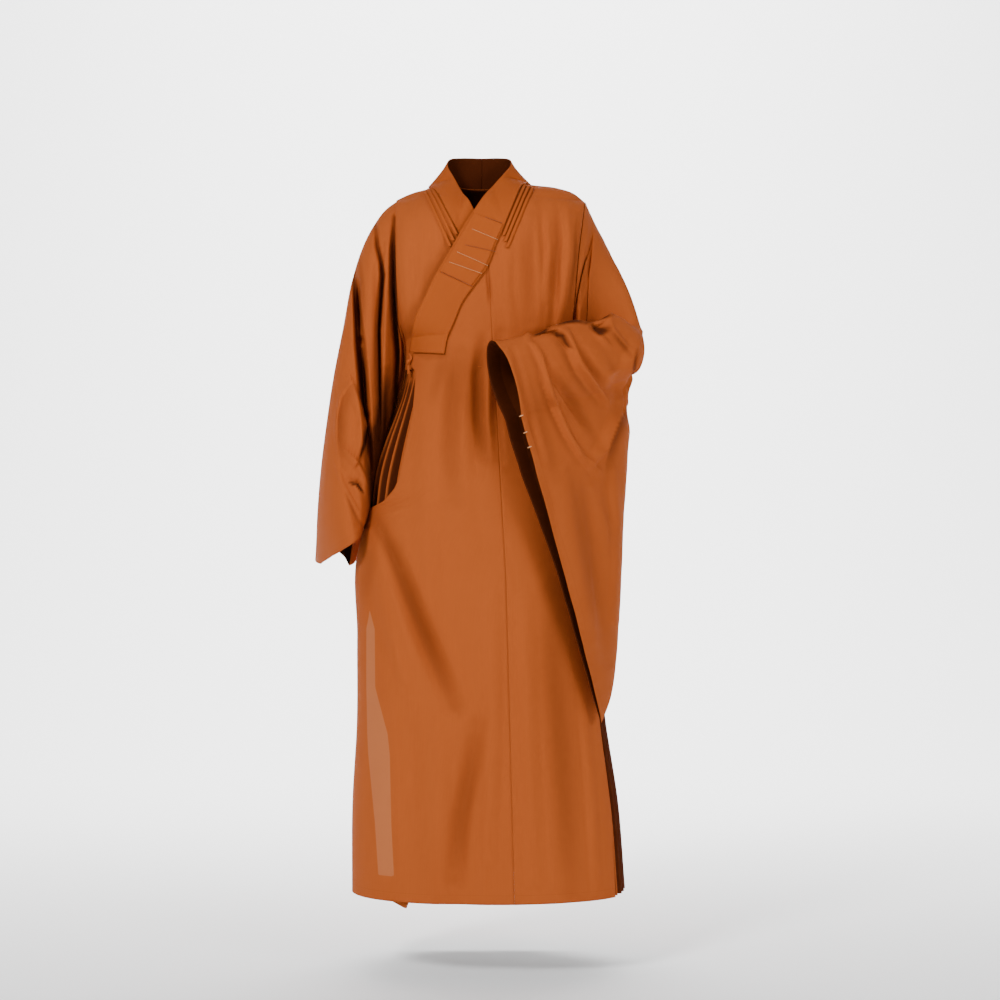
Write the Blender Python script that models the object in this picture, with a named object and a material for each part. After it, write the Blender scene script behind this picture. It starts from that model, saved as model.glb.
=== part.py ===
"""A wide-sleeved cross-collar robe as worn: hollow cloth panels, each a closed wall of its own.

Metres, +Z up. The front faces -Y and the wearer's left is +X. The origin is where the robe hangs on
the shoulders, in the middle of the neck. Every panel is a grid of points on a surface that a few
tables of sections describe, given a wall by moving the grid both ways along its normals.
"""

import math

import bpy
import numpy as np

# Cloth and seams
WALL = 0.0016
COLLAR_WALL = 0.0024
TRIM_WALL = 0.0010
GAP = 0.0004
ROOM = 0.0015
ON_PANEL = WALL / 2 + COLLAR_WALL / 2 + GAP + ROOM
ON_INNER = ON_PANEL + ROOM
LAP_INSET = WALL + GAP + ROOM
SHOULDER_CORNER = 0.0018

# Body of the robe
HEM_DROP = 1.255
SHOULDER_DROP = 0.100
SHOULDER_TURN = 0.160
CREST_FADE = 0.35
BOXINESS = 0.90
SIDE = math.pi / 2
SEAM_ANGLE = 0.0020

BODY_COLUMNS = ("drop", "centre", "half_width", "front", "back")
BODY_SECTIONS = (
    (0.000, 0.0155, 0.1685, 0.105, 0.100),
    (0.100, 0.0100, 0.1620, 0.115, 0.115),
    (0.200, 0.0080, 0.1560, 0.122, 0.118),
    (0.300, 0.0110, 0.1470, 0.128, 0.108),
    (0.400, 0.0035, 0.1615, 0.134, 0.110),
    (0.500, 0.0010, 0.1790, 0.138, 0.126),
    (0.570, -0.0020, 0.1920, 0.142, 0.140),
    (0.640, -0.0105, 0.2105, 0.147, 0.150),
    (0.800, -0.0070, 0.2170, 0.156, 0.165),
    (0.950, 0.0010, 0.2255, 0.165, 0.180),
    (1.100, 0.0085, 0.2410, 0.175, 0.195),
    (1.255, 0.0145, 0.2475, 0.185, 0.210),
)

# The shoulder line, seen from the front
CREST_COLUMNS = ("x", "z")
CREST_LINE = (
    (-0.1600, -0.0195),
    (-0.1480, -0.0130),
    (-0.1220, -0.0020),
    (-0.0990, 0.0040),
    (-0.0790, 0.0115),
    (-0.0400, 0.0200),
    (0.0400, 0.0210),
    (0.0900, 0.0115),
    (0.1370, 0.0055),
    (0.1670, -0.0050),
    (0.1870, -0.0215),
)

# Rows of every panel: runs over the shoulder, then drops below it
SHOULDER_RUNS = (0.0010, 0.018, 0.038, 0.060, 0.084, 0.108, 0.134)
ROW_DROPS = (
    0.100, 0.145, 0.195, 0.245, 0.280, 0.296, 0.312, 0.322, 0.345, 0.390, 0.440, 0.500,
    0.556, 0.600, 0.645, 0.740, 0.860, 1.000, 1.130, 1.255,
)

# Armholes, as ellipses seen from the side
ARM_BOTTOM = -0.262
ARM_FRONT = 0.075
ARM_BACK = 0.085

# Soft folds of the body: start x and z, end x and z, half width, height out of the cloth
FRONT_FOLDS = (
    (-0.172, -0.605, -0.131, -0.719, 0.030, -0.011),
    (-0.131, -0.719, -0.052, -0.905, 0.038, -0.009),
    (-0.175, -0.640, -0.120, -0.860, 0.035, 0.007),
    (-0.015, -0.940, -0.036, -1.255, 0.045, -0.006),
    (0.110, -0.020, 0.125, -0.190, 0.020, -0.006),
    (0.085, -0.010, 0.095, -0.160, 0.018, 0.005),
    (-0.110, -0.030, -0.112, -0.200, 0.022, 0.005),
    (-0.060, -0.340, -0.030, -0.700, 0.040, 0.006),
)
BACK_FOLDS = (
    (0.000, -0.100, 0.010, -1.255, 0.060, -0.012),
    (0.085, -0.180, 0.120, -1.255, 0.050, 0.013),
    (-0.090, -0.160, -0.125, -1.255, 0.055, 0.014),
    (0.150, -0.420, 0.190, -1.255, 0.040, -0.012),
    (-0.150, -0.480, -0.190, -1.255, 0.045, -0.011),
    (0.045, -0.500, 0.060, -1.255, 0.035, 0.010),
    (-0.045, -0.620, -0.060, -1.255, 0.038, 0.009),
)

# Edges of the front panels, as x at each height
EDGE_COLUMNS = ("z", "x")
LAP_EDGE = (
    (-0.640, -0.260),
    (-0.624, -0.222),
    (-0.598, -0.206),
    (-0.570, -0.190),
    (-0.556, -0.1665),
    (-0.535, -0.150),
    (-0.518, -0.1426),
    (-0.454, -0.130),
    (-0.406, -0.1216),
    (-0.340, -0.1170),
    (-0.326, -0.1180),
    (-0.312, -0.1280),
    (-0.296, -0.1210),
    (-0.250, -0.0980),
    (-0.210, -0.0780),
    (-0.165, -0.0520),
    (-0.130, -0.0100),
    (-0.100, 0.0180),
    (-0.074, 0.0350),
    (-0.044, 0.0475),
    (-0.010, 0.0615),
    (0.004, 0.0670),
    (0.020, 0.0725),
)
WIDTH_SEAM = (
    (-1.255, 0.0575),
    (-0.690, 0.0430),
    (-0.200, 0.0150),
    (-0.110, 0.0100),
    (0.004, 0.0050),
)
LEFT_EDGE_ANGLE = (
    (-1.255, math.radians(62)),
    (-0.950, math.radians(66)),
    (-0.400, math.radians(74)),
    (-0.330, SIDE - SEAM_ANGLE),
    (0.010, SIDE - SEAM_ANGLE),
)
INNER_EDGE = (
    (-1.262, 0.020),
    (-0.350, 0.060),
    (-0.200, 0.050),
    (-0.115, 0.000),
    (-0.095, -0.0260),
    (-0.080, -0.0380),
    (-0.048, -0.0555),
    (-0.010, -0.0750),
    (0.002, -0.0785),
    (0.020, -0.0830),
)
NECK_RUN = 0.052
INNER_INSET = 0.0088
INSET_START = 0.028
INSET_FULL = 0.002
INNER_TOE = 0.012
SKIRT_ANGLE = math.radians(44)
BACK_LAP_ANGLE = math.radians(104)
PLEAT_TOP = -0.322
PLEAT_ROOM = 0.0045

# Collar bands: outer (sewn) and inner (free) edges, from the centre back down the front.
# Rows with a depth lie round the neck; the others lie on the chest.
BAND_COLUMNS = ("outer_x", "outer_z", "outer_y", "inner_x", "inner_z", "inner_y")
LEFT_BAND = (
    (0.0003, -0.002, 0.0722, 0.0003, 0.066, 0.046),
    (0.036, -0.001, 0.0690, 0.030, 0.066, 0.040),
    (0.065, 0.007, 0.0540, 0.049, 0.061, 0.022),
    (0.0775, 0.0190, 0.008, 0.0515, 0.048, -0.004),
    (0.0695, 0.001, None, 0.041, 0.031, -0.032),
    (0.0545, -0.036, None, 0.023, 0.007, -0.058),
    (0.0390, -0.074, None, 0.003, -0.021, None),
    (0.026, -0.104, None, -0.012, -0.044, None),
    (0.010, -0.146, None, -0.032, -0.075, None),
    (-0.015, -0.182, None, -0.050, -0.107, None),
    (-0.034, -0.210, None, -0.083, -0.164, None),
    (-0.048, -0.244, None, -0.099, -0.198, None),
    (-0.058, -0.268, None, -0.116, -0.236, None),
    (-0.064, -0.298, None, -0.1255, -0.292, None),
)
RIGHT_BAND = (
    (-0.0003, -0.002, 0.0722, -0.0003, 0.066, 0.046),
    (-0.038, -0.001, 0.0690, -0.034, 0.066, 0.040),
    (-0.068, 0.007, 0.0540, -0.057, 0.061, 0.020),
    (-0.0845, 0.0168, 0.008, -0.0615, 0.046, -0.006),
    (-0.0785, -0.010, None, -0.050, 0.022, -0.034),
    (-0.0590, -0.048, None, -0.036, -0.006, -0.060),
    (-0.0385, -0.086, None, -0.018, -0.034, None),
    (-0.014, -0.122, None, 0.004, -0.070, None),
)

# Layered strips along the collar seams: start x and z, end x and z on the chest
LEFT_STRIPS = (
    (0.0765, 0.006, 0.0385, -0.090),
    (0.0835, 0.004, 0.0415, -0.101),
    (0.0905, 0.001, 0.0445, -0.112),
)
RIGHT_STRIPS = (
    (-0.0882, 0.002, -0.0437, -0.088),
    (-0.0945, 0.000, -0.0490, -0.099),
    (-0.1015, -0.003, -0.0550, -0.109),
)
STRIP_WIDTH = 0.0052

# The stitched patch: its share of the left band's length, and of its width
PATCH_START = 0.44
PATCH_END = 0.75
PATCH_SIDE = 0.12

# Sleeves: rings from the armhole to the cuff, flat pockets between a top and a bottom point.
# turn is the azimuth that the back layer faces; front and back are how far each layer bellies out,
# and arm is the extra room round the forearm, near the top.
RING_COLUMNS = (
    "top_x", "top_y", "top_z", "bottom_x", "bottom_y", "bottom_z", "turn", "front", "back", "arm",
    "lean",
)
LEFT_RINGS = (
    (0.184, 0.000, -0.0190, 0.161, 0.000, -0.262, 90, 0.075, 0.085, 0.000, 1.00),
    (0.203, 0.000, -0.058, 0.177, 0.018, -0.345, 80, 0.076, 0.085, 0.000, 1.00),
    (0.229, 0.000, -0.115, 0.194, 0.035, -0.450, 62, 0.064, 0.068, 0.002, 0.95),
    (0.258, -0.005, -0.185, 0.216, 0.045, -0.580, 35, 0.038, 0.030, 0.008, 0.85),
    (0.270, -0.020, -0.240, 0.238, 0.030, -0.690, 5, 0.022, 0.010, 0.018, 0.75),
    (0.245, -0.065, -0.236, 0.243, -0.005, -0.770, -15, 0.018, 0.010, 0.024, 0.70),
    (0.185, -0.120, -0.246, 0.239, -0.036, -0.840, -30, 0.018, 0.011, 0.026, 0.65),
    (0.105, -0.190, -0.256, 0.229, -0.076, -0.900, -42, 0.026, 0.012, 0.024, 0.62),
    (0.022, -0.262, -0.279, 0.210, -0.120, -0.945, -46, 0.030, 0.012, 0.012, 0.60),
)
RIGHT_RINGS = (
    (-0.153, 0.000, -0.0155, -0.1415, 0.000, -0.262, 90, 0.075, 0.085, 0.000, 1.0),
    (-0.180, 0.000, -0.040, -0.148, 0.014, -0.274, 90, 0.078, 0.088, 0.000, 1.0),
    (-0.211, 0.000, -0.093, -0.147, 0.030, -0.288, 90, 0.083, 0.098, 0.000, 1.0),
    (-0.234, 0.000, -0.163, -0.145, 0.046, -0.308, 90, 0.088, 0.104, 0.000, 1.0),
    (-0.249, 0.000, -0.243, -0.1445, 0.058, -0.339, 91, 0.094, 0.108, 0.000, 1.0),
    (-0.266, 0.000, -0.328, -0.1525, 0.066, -0.386, 93, 0.100, 0.112, 0.000, 1.0),
    (-0.279, 0.000, -0.414, -0.1675, 0.066, -0.445, 96, 0.106, 0.120, 0.000, 1.0),
    (-0.289, 0.005, -0.500, -0.1850, 0.059, -0.501, 99, 0.113, 0.130, 0.000, 1.0),
    (-0.293, 0.010, -0.585, -0.2050, 0.046, -0.560, 102, 0.121, 0.140, 0.000, 1.0),
    (-0.290, 0.015, -0.670, -0.229, 0.030, -0.625, 105, 0.129, 0.150, 0.000, 1.0),
)
ARM_SHARE = 0.20
CUFF_DIP = 0.045

# Folds of the sleeves: start ring and share down it, end ring and share, half width, height
LEFT_FRONT_FOLDS = (
    (0.10, 0.75, 1.10, 0.08, 0.010, -0.016),
    (1.20, 0.20, 2.40, 0.60, 0.030, -0.012),
)
LEFT_BACK_FOLDS = (
    (7.20, 0.13, 6.10, 0.43, 0.030, 0.007),
    (6.35, 0.08, 5.60, 0.25, 0.026, 0.007),
    (6.80, 0.20, 5.40, 0.70, 0.040, -0.006),
    (4.30, 0.06, 4.60, 0.30, 0.022, -0.014),
    (1.20, 0.15, 3.20, 0.75, 0.040, -0.014),
    (0.60, 0.30, 2.20, 0.90, 0.034, 0.010),
)
RIGHT_FRONT_FOLDS = (
    (2.80, 0.10, 4.00, 0.28, 0.0110, -0.045),
    (4.00, 0.28, 5.60, 0.52, 0.0125, -0.050),
    (5.60, 0.52, 7.20, 0.74, 0.0120, -0.040),
    (1.20, 0.62, 2.60, 0.82, 0.0065, -0.018),
    (2.60, 0.82, 5.80, 0.90, 0.0065, -0.024),
    (7.10, 0.30, 8.60, 0.62, 0.0140, -0.008),
)
RIGHT_BACK_FOLDS = (
    (1.80, 0.30, 8.80, 0.34, 0.0160, -0.040),
    (2.40, 0.66, 8.80, 0.66, 0.0140, -0.030),
)

# The side tie at the right waist
TIE_X = -0.1255
TIE_Z = -0.3085
TIE_WIDTH = 0.0085
TIE_WALL = 0.0022
TIE_LIFT = 0.0004
KNOT_BULGE = 0.0025
KNOT_WIDER = 1.25
TIE_CROWN = 0.0006

# Middle line of the tie: across and up from the knot, from the loop to the tail
TIE_PATH = (
    (-0.002, 0.014),
    (0.003, 0.010),
    (0.004, 0.004),
    (0.000, 0.000),
    (-0.004, -0.006),
    (-0.005, -0.014),
    (-0.004, -0.022),
)
TIE_KNOT_ROW = 3

# Points across each panel
FRONT_COLUMNS = 12
OVERLAP_COLUMNS = 14
INNER_COLUMNS = 10
BACK_COLUMNS = 11
BAND_WIDE = 5
LEFT_BAND_STEPS = 34
RIGHT_BAND_STEPS = 20
STRIP_STEPS = 8

# Pleated inserts: waves, points a wave, and the first angle on each side in degrees
PLEAT_WAVES = 4
WAVE_COLUMNS = 5
PLEAT_RIMS = 5
LEFT_PLEATS_FROM = 57
RIGHT_PLEATS_FROM = 48
PLEAT_SHALLOW = 0.004
PLEAT_DEEPER = 0.012
PLEATS_OVER_BACK = math.radians(3.5)

# Points round and along each sleeve
LEFT_ROUND = 34
RIGHT_ROUND = 42
SLEEVE_STARTS = (0.0, 0.22)
LEFT_ALONG = 16
RIGHT_ALONG = 17
RING_SPACING = 0.085

# Where the right sleeve's two deep folds lie, so that its points crowd there: ring and share down
VALLEY_RINGS = (2.8, 4.0, 5.6, 7.2)
VALLEY_DOWN = (0.10, 0.28, 0.52, 0.74)
SLIT_RINGS = (1.2, 2.6, 5.8)
SLIT_DOWN = (0.62, 0.82, 0.90)
CROWD_REACH = 0.055
CROWD_GAIN = 2.2

CLOTH_COLOUR = (0.44, 0.115, 0.028, 1.0)
CLOTH_ROUGHNESS = 0.75


def column(columns, rows, name):
    """One named column of a table, as an array."""
    place = columns.index(name)
    return np.array([row[place] for row in rows], float)


def smooth_between(known, values, at):
    """The value at a place between known ones, on a smooth curve through them."""
    slopes = np.gradient(values, known)
    at = np.clip(at, known[0], known[-1])
    index = np.clip(np.searchsorted(known, at, side="right") - 1, 0, len(known) - 2)
    span = known[index + 1] - known[index]
    t = (at - known[index]) / span
    start = (1 + 2 * t) * (1 - t) ** 2 * values[index] + t * (1 - t) ** 2 * span * slopes[index]
    end = t * t * (3 - 2 * t) * values[index + 1] + t * t * (t - 1) * span * slopes[index + 1]
    return start + end


def ease(share):
    """A soft step from 0 to 1."""
    share = np.clip(share, 0.0, 1.0)
    return share * share * (3 - 2 * share)


def bell(distance):
    """A smooth hump, 1 at distance 0 and 0 from distance 1 on."""
    return (1 - np.clip(distance, 0.0, 1.0) ** 2) ** 2


def unit(vectors):
    """Vectors of length 1."""
    length = np.linalg.norm(vectors, axis=-1, keepdims=True)
    return vectors / np.maximum(length, 1e-12)


def edge_at(rows, z):
    """An edge table's value at a height."""
    return np.interp(z, column(EDGE_COLUMNS, rows, "z"), column(EDGE_COLUMNS, rows, "x"))


def drop_of(run):
    """How far below the shoulder line the cloth is, after a run along it."""
    turn = np.clip(run / SHOULDER_TURN, 0.0, 1.0) * SIDE
    over_shoulder = SHOULDER_DROP * (1 - np.cos(turn))
    return np.where(run < SHOULDER_TURN, over_shoulder, SHOULDER_DROP + run - SHOULDER_TURN)


def run_of(drop):
    """The run along the cloth that ends at a drop."""
    turn = np.arccos(np.clip(1 - drop / SHOULDER_DROP, 0.0, 1.0))
    return np.where(drop < SHOULDER_DROP, turn / SIDE * SHOULDER_TURN, SHOULDER_TURN + drop - SHOULDER_DROP)


def section(drop, name):
    """A body size at a drop."""
    known = column(BODY_COLUMNS, BODY_SECTIONS, "drop")
    return smooth_between(known, column(BODY_COLUMNS, BODY_SECTIONS, name), drop)


def crest(x):
    """Height of the shoulder line."""
    known = column(CREST_COLUMNS, CREST_LINE, "x")
    return smooth_between(known, column(CREST_COLUMNS, CREST_LINE, "z"), x)


def level(x, drop):
    """Height of the cloth at a drop: the rows follow the shoulders and are level from the waist."""
    return crest(x) * (1 - ease(drop / CREST_FADE)) - drop


def armhole_depth(z, side, reach):
    """How far the armhole's edge lies in front of or behind the shoulder line."""
    top = crest(section(0.0, "centre") + side * section(0.0, "half_width"))
    middle = (top + ARM_BOTTOM) / 2
    half = (top - ARM_BOTTOM) / 2
    share = np.clip((z - middle) / half, -1.0, 1.0)
    return reach * np.sqrt(1 - share**2)


def relief(x, z, folds):
    """Height of the soft folds at a place."""
    total = np.zeros(np.broadcast(x, z).shape)
    for x0, z0, x1, z1, half_width, height in folds:
        along = ((x - x0) * (x1 - x0) + (z - z0) * (z1 - z0)) / ((x1 - x0) ** 2 + (z1 - z0) ** 2)
        share = np.clip(along, 0.0, 1.0)
        away = np.hypot(x - x0 - share * (x1 - x0), z - z0 - share * (z1 - z0))
        open_end = z1 <= -HEM_DROP
        fade = np.sin(np.pi * np.clip(0.12 + share * (0.38 if open_end else 0.76), 0.0, 1.0))
        total = total + height * fade * bell(away / half_width)
    return total


def body_base(angle, run):
    """A point of the body's surface. Angle 0 is the front, + the wearer's left, and pi the back."""
    drop = drop_of(run)
    sine = np.sin(angle)
    cosine = np.cos(angle)
    x = section(drop, "centre") + section(drop, "half_width") * np.sign(sine) * np.abs(sine) ** BOXINESS
    z = level(x, drop)
    rounding = np.sin(np.clip(run / SHOULDER_TURN, 0.0, 1.0) * SIDE)
    is_front = cosine >= 0
    reach = np.where(is_front, section(drop, "front"), section(drop, "back")) * rounding
    arm_reach = np.where(is_front, ARM_FRONT, ARM_BACK)
    arm = np.minimum(armhole_depth(z, np.where(sine >= 0, 1.0, -1.0), arm_reach), reach)
    depth = arm + (reach - arm) * np.abs(cosine) ** BOXINESS
    folds = np.where(is_front, relief(x, z, FRONT_FOLDS), relief(x, z, BACK_FOLDS))
    depth = depth + folds * np.abs(cosine) * rounding + SHOULDER_CORNER * (1 - rounding) * np.abs(sine) ** 6
    return np.stack([x, np.where(is_front, -depth, depth), z], axis=-1)


def body(angle, run, lift=0.0):
    """A point of the body, moved out of the surface by a lift."""
    angle, run, lift = np.broadcast_arrays(angle, run, lift)
    step = 0.004
    across = body_base(angle + step, run) - body_base(angle - step, run)
    low = np.maximum(run - step, 0.0)
    down = body_base(angle, run + step) - body_base(angle, low)
    outward = unit(np.cross(down, across))
    return body_base(angle, run) + outward * lift[..., None]


def angle_of(x, drop):
    """The body angle of an x on the front, at a drop."""
    share = (x - section(drop, "centre")) / section(drop, "half_width")
    sine = np.sign(share) * np.minimum(np.abs(share), 1.0) ** (1 / BOXINESS)
    return np.clip(np.arcsin(sine), -SIDE + SEAM_ANGLE, SIDE - SEAM_ANGLE)


def front_at(x, z, lift):
    """The point of the front that has this x and z, moved out by a lift."""
    drop = np.maximum(crest(x) - z, 0.0)
    for _ in range(8):
        drop = np.maximum(crest(x) * (1 - ease(drop / CREST_FADE)) - z, 0.0)
    return body(angle_of(x, drop), run_of(drop), lift)


def angle_on_edge(rows, drop):
    """The angle at which a row of the front meets an edge table."""
    x = edge_at(rows, -drop)
    for _ in range(6):
        x = edge_at(rows, level(x, drop))
    return angle_of(x, drop)


def add_solid(name, points, faces):
    """A named object from points and faces, turned so that its faces point out."""
    mesh = bpy.data.meshes.new(name)
    corners = points[np.array([face[:3] for face in faces])]
    volume = np.einsum("ij,ij->i", corners[:, 0], np.cross(corners[:, 1], corners[:, 2])).sum()
    if volume < 0:
        faces = [face[::-1] for face in faces]
    mesh.from_pydata([tuple(point) for point in points], [], faces)
    mesh.shade_smooth()
    made = bpy.data.objects.new(name, mesh)
    bpy.context.scene.collection.objects.link(made)
    material = bpy.data.materials.new(name)
    material.use_nodes = True
    shader = material.node_tree.nodes["Principled BSDF"]
    shader.inputs["Base Color"].default_value = CLOTH_COLOUR
    shader.inputs["Roughness"].default_value = CLOTH_ROUGHNESS
    shader.inputs["Metallic"].default_value = 0.0
    mesh.materials.append(material)
    return made


def grid_normals(grid, closed):
    """A normal for each point of a grid; closed grids go round in their columns."""
    if closed:
        across = np.roll(grid, -1, axis=1) - np.roll(grid, 1, axis=1)
    else:
        across = np.gradient(grid, axis=1)
    down = np.gradient(grid, axis=0)
    return unit(np.cross(down, across))


def add_wall(name, grid, wall, closed=False):
    """A cloth panel: the grid moved half a wall both ways, with the rims closed."""
    rows, columns = grid.shape[:2]
    normals = grid_normals(grid, closed)
    outer = (grid + normals * wall / 2).reshape(-1, 3)
    inner = (grid - normals * wall / 2).reshape(-1, 3)
    points = np.concatenate([outer, inner])
    other = rows * columns
    around = columns if closed else columns - 1
    faces = []
    for row in range(rows - 1):
        for place in range(around):
            a = row * columns + place
            b = row * columns + (place + 1) % columns
            c = b + columns
            d = a + columns
            faces += [(a, b, c), (a, c, d)]
            faces += [(other + a, other + c, other + b), (other + a, other + d, other + c)]
    for place in range(around):
        a = place
        b = (place + 1) % columns
        faces += [(b, a, other + a), (b, other + a, other + b)]
        a += (rows - 1) * columns
        b += (rows - 1) * columns
        faces += [(a, b, other + b), (a, other + b, other + a)]
    if not closed:
        for row in range(rows - 1):
            a = row * columns
            d = a + columns
            faces += [(a, d, other + d), (a, other + d, other + a)]
            a += columns - 1
            d += columns - 1
            faces += [(d, a, other + a), (d, other + a, other + d)]
    return add_solid(name, points, faces)


def panel_runs():
    """Runs of a panel's rows, the same on every panel: closer over the shoulder and at the waist."""
    return np.concatenate([np.array(SHOULDER_RUNS), run_of(np.array(ROW_DROPS))])


def between(start, end, columns):
    """Angles across a row, evenly from one edge to the other."""
    share = np.linspace(0.0, 1.0, columns)
    return start[:, None] + (end - start)[:, None] * share[None, :]


def make_fronts():
    """The outer front in two widths: the left one, and the one that laps over to the right side."""
    runs = panel_runs()
    drops = drop_of(runs)
    lap = angle_on_edge(LAP_EDGE, drops)
    seam = angle_on_edge(WIDTH_SEAM, drops)
    left = edge_at(LEFT_EDGE_ANGLE, -drops)
    first = int(np.argmax(seam > lap + 0.02))
    seam = np.maximum(seam, lap + 0.02)
    half_gap = GAP / 2 / section(drops, "half_width")
    start = np.where(np.arange(len(runs)) < first, lap, seam + half_gap)
    add_wall("front_left", body(between(start, left, FRONT_COLUMNS), runs[:, None]), WALL)
    part = slice(first, None)
    angles = between(lap[part], seam[part] - half_gap[part], OVERLAP_COLUMNS)
    overlap = body(angles, runs[part, None])
    add_wall("front_left_overlap", overlap, WALL)


def inner_inset(angle, x, z):
    """How far inside the outer front the inner one lies: flush at the side, then under the collar."""
    inner_z = column(BAND_COLUMNS, LEFT_BAND[6:], "inner_z")
    inner_x = column(BAND_COLUMNS, LEFT_BAND[6:], "inner_x")
    over_edge = np.interp(z, inner_z[::-1], inner_x[::-1])
    under = ease((x - over_edge + INSET_START) / (INSET_START - INSET_FULL))
    held_at_side = ease((angle + math.radians(88)) / math.radians(16))
    return INNER_INSET * np.where(z < PLEAT_TOP, 1.0, under * held_at_side)


def make_inner_front():
    """The inner front: flush at the right chest, then behind the lapped-over front to the hem."""
    step = 0.0010
    runs = panel_runs()
    runs = np.sort(np.concatenate([runs, run_of(np.array([-PLEAT_TOP - 2 * step]))]))
    runs = runs[np.abs(drop_of(runs) + PLEAT_TOP) > 1e-6]
    runs = np.sort(np.concatenate([runs, run_of(np.array([-PLEAT_TOP - step]))]))
    drops = drop_of(runs)
    at_side = drops < -PLEAT_TOP - 1.5 * step
    start = np.where(at_side, -SIDE + SEAM_ANGLE, -SKIRT_ANGLE)
    end = angle_on_edge(INNER_EDGE, drops)
    angles = between(start, end, INNER_COLUMNS)
    plain = body_base(angles, runs[:, None])
    grid = body(angles, runs[:, None], -inner_inset(angles, plain[..., 0], plain[..., 2]))
    grid[-1, :, 2] -= INNER_TOE * bell((grid[-1, :, 0] - grid[-1, 0, 0]) / 0.040)
    add_wall("front_right", grid, WALL)


def make_backs():
    """The two back widths, from the shoulder line and the neck to the hem."""
    for name, side in (("back_left", 1), ("back_right", -1)):
        runs = panel_runs()
        drops = drop_of(runs)
        lap = SIDE + SEAM_ANGLE + (BACK_LAP_ANGLE - SIDE) * ease((drops - 0.300) / 0.060)
        half_gap = GAP / 2 / section(drops, "half_width")
        angles = between(lap, math.pi - half_gap, BACK_COLUMNS)
        share = np.linspace(0.0, 1.0, BACK_COLUMNS)
        neck = NECK_RUN * ease((share - 0.52) / 0.42)
        run = runs[:, None] + neck[None, :] * (1 - ease(runs / 0.25))[:, None]
        add_wall(name, body(side * angles, run), WALL)


def make_side_pleats():
    """The pleated inserts, lapped inside the front and back panels at each side."""
    columns = WAVE_COLUMNS * PLEAT_WAVES + PLEAT_RIMS
    drops = np.array([drop for drop in ROW_DROPS if drop >= -PLEAT_TOP])
    depth = PLEAT_SHALLOW + PLEAT_DEEPER * ease((drops + PLEAT_TOP) / 0.12)
    sides = (("side_pleats_left", 1, LEFT_PLEATS_FROM), ("side_pleats_right", -1, RIGHT_PLEATS_FROM))
    for name, side, first_angle in sides:
        share = np.linspace(0.0, 1.0, columns)
        start = math.radians(first_angle)
        end = BACK_LAP_ANGLE + PLEATS_OVER_BACK
        angles = start + (end - start) * share
        folded = np.clip((share - 0.08) / 0.80, 0.0, 1.0)
        wave = 0.5 - 0.5 * np.cos(2 * np.pi * PLEAT_WAVES * folded)
        under_front = PLEAT_ROOM * (1 - ease((share - 0.5) / 0.3))
        inset = LAP_INSET + under_front[None, :] + depth[:, None] * wave[None, :]
        add_wall(name, body(side * angles[None, :], run_of(drops)[:, None], -inset), WALL)


def band_lift(x, z, under):
    """How far a collar band's middle lies from the body's surface."""
    if not under:
        return ON_PANEL
    return ON_INNER - inner_inset(angle_of(x, np.maximum(-z, 0.0)), x, z)


def band_grid(rows, columns, steps, under):
    """A collar band between its two edges; under says if it lies on the inner front."""
    known = np.arange(len(rows), dtype=float)
    at = np.linspace(0.0, len(rows) - 1.0, steps)
    edges = []
    for edge in ("outer", "inner"):
        x = column(BAND_COLUMNS, rows, edge + "_x")
        z = column(BAND_COLUMNS, rows, edge + "_z")
        given = [row[BAND_COLUMNS.index(edge + "_y")] for row in rows]
        on_chest = front_at(x, z, band_lift(x, z, under))
        points = np.stack([x, on_chest[:, 1], z], axis=-1)
        for place, depth in enumerate(given):
            if depth is not None:
                points[place, 1] = depth
        edges.append(np.stack([smooth_between(known, points[:, axis], at) for axis in range(3)], axis=-1))
    share = np.linspace(0.0, 1.0, columns)[None, :, None]
    grid = edges[0][:, None, :] * (1 - share) + edges[1][:, None, :] * share
    on_chest = front_at(grid[..., 0], grid[..., 2], band_lift(grid[..., 0], grid[..., 2], under))
    on_panel = {}
    for edge in ("outer", "inner"):
        chest = [0.0 if row[BAND_COLUMNS.index(edge + "_y")] is not None else 1.0 for row in rows]
        on_panel[edge] = ease(np.interp(at, known, chest))[:, None, None]
    amount = np.maximum(on_panel["outer"] * (1 - share), on_panel["inner"])
    return grid * (1 - amount) + on_chest * amount


def make_collar():
    """The two collar bands, and the stitched patch across the lapped-over one."""
    left = band_grid(LEFT_BAND, BAND_WIDE, LEFT_BAND_STEPS, False)
    add_wall("collar_left", left, COLLAR_WALL)
    right = band_grid(RIGHT_BAND, BAND_WIDE, RIGHT_BAND_STEPS, True)
    add_wall("collar_right", right, COLLAR_WALL)
    first = int(PATCH_START * len(left))
    last = int(PATCH_END * len(left))
    part = left[first : last + 1]
    normals = grid_normals(left, False)[first : last + 1]
    lift = COLLAR_WALL / 2 + TRIM_WALL / 2 + 2 * GAP
    outward = np.where(normals[..., 1:2] > 0, -normals, normals)
    patch = part + outward * lift
    patch[:, 0] += (patch[:, 1] - patch[:, 0]) * PATCH_SIDE
    patch[:, -1] += (patch[:, -2] - patch[:, -1]) * PATCH_SIDE
    add_wall("collar_patch", patch, TRIM_WALL)


def make_strips():
    """The layered strips beside the collar, each stepping down from the one before."""
    for side_name, strips in (("left", LEFT_STRIPS), ("right", RIGHT_STRIPS)):
        for number, (x0, z0, x1, z1) in enumerate(strips, start=1):
            share = np.linspace(0.0, 1.0, STRIP_STEPS)
            x = x0 + (x1 - x0) * share
            z = z0 + (z1 - z0) * share
            side = 1 if x0 > 0 else -1
            across = np.array([-0.5, 0.5]) * STRIP_WIDTH * side
            lift = WALL / 2 + TRIM_WALL / 2 + GAP + ROOM
            grid = front_at(x[:, None] + across[None, :], z[:, None], lift)
            add_wall(f"neck_trim_{side_name}_{number}", grid, TRIM_WALL)


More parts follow.
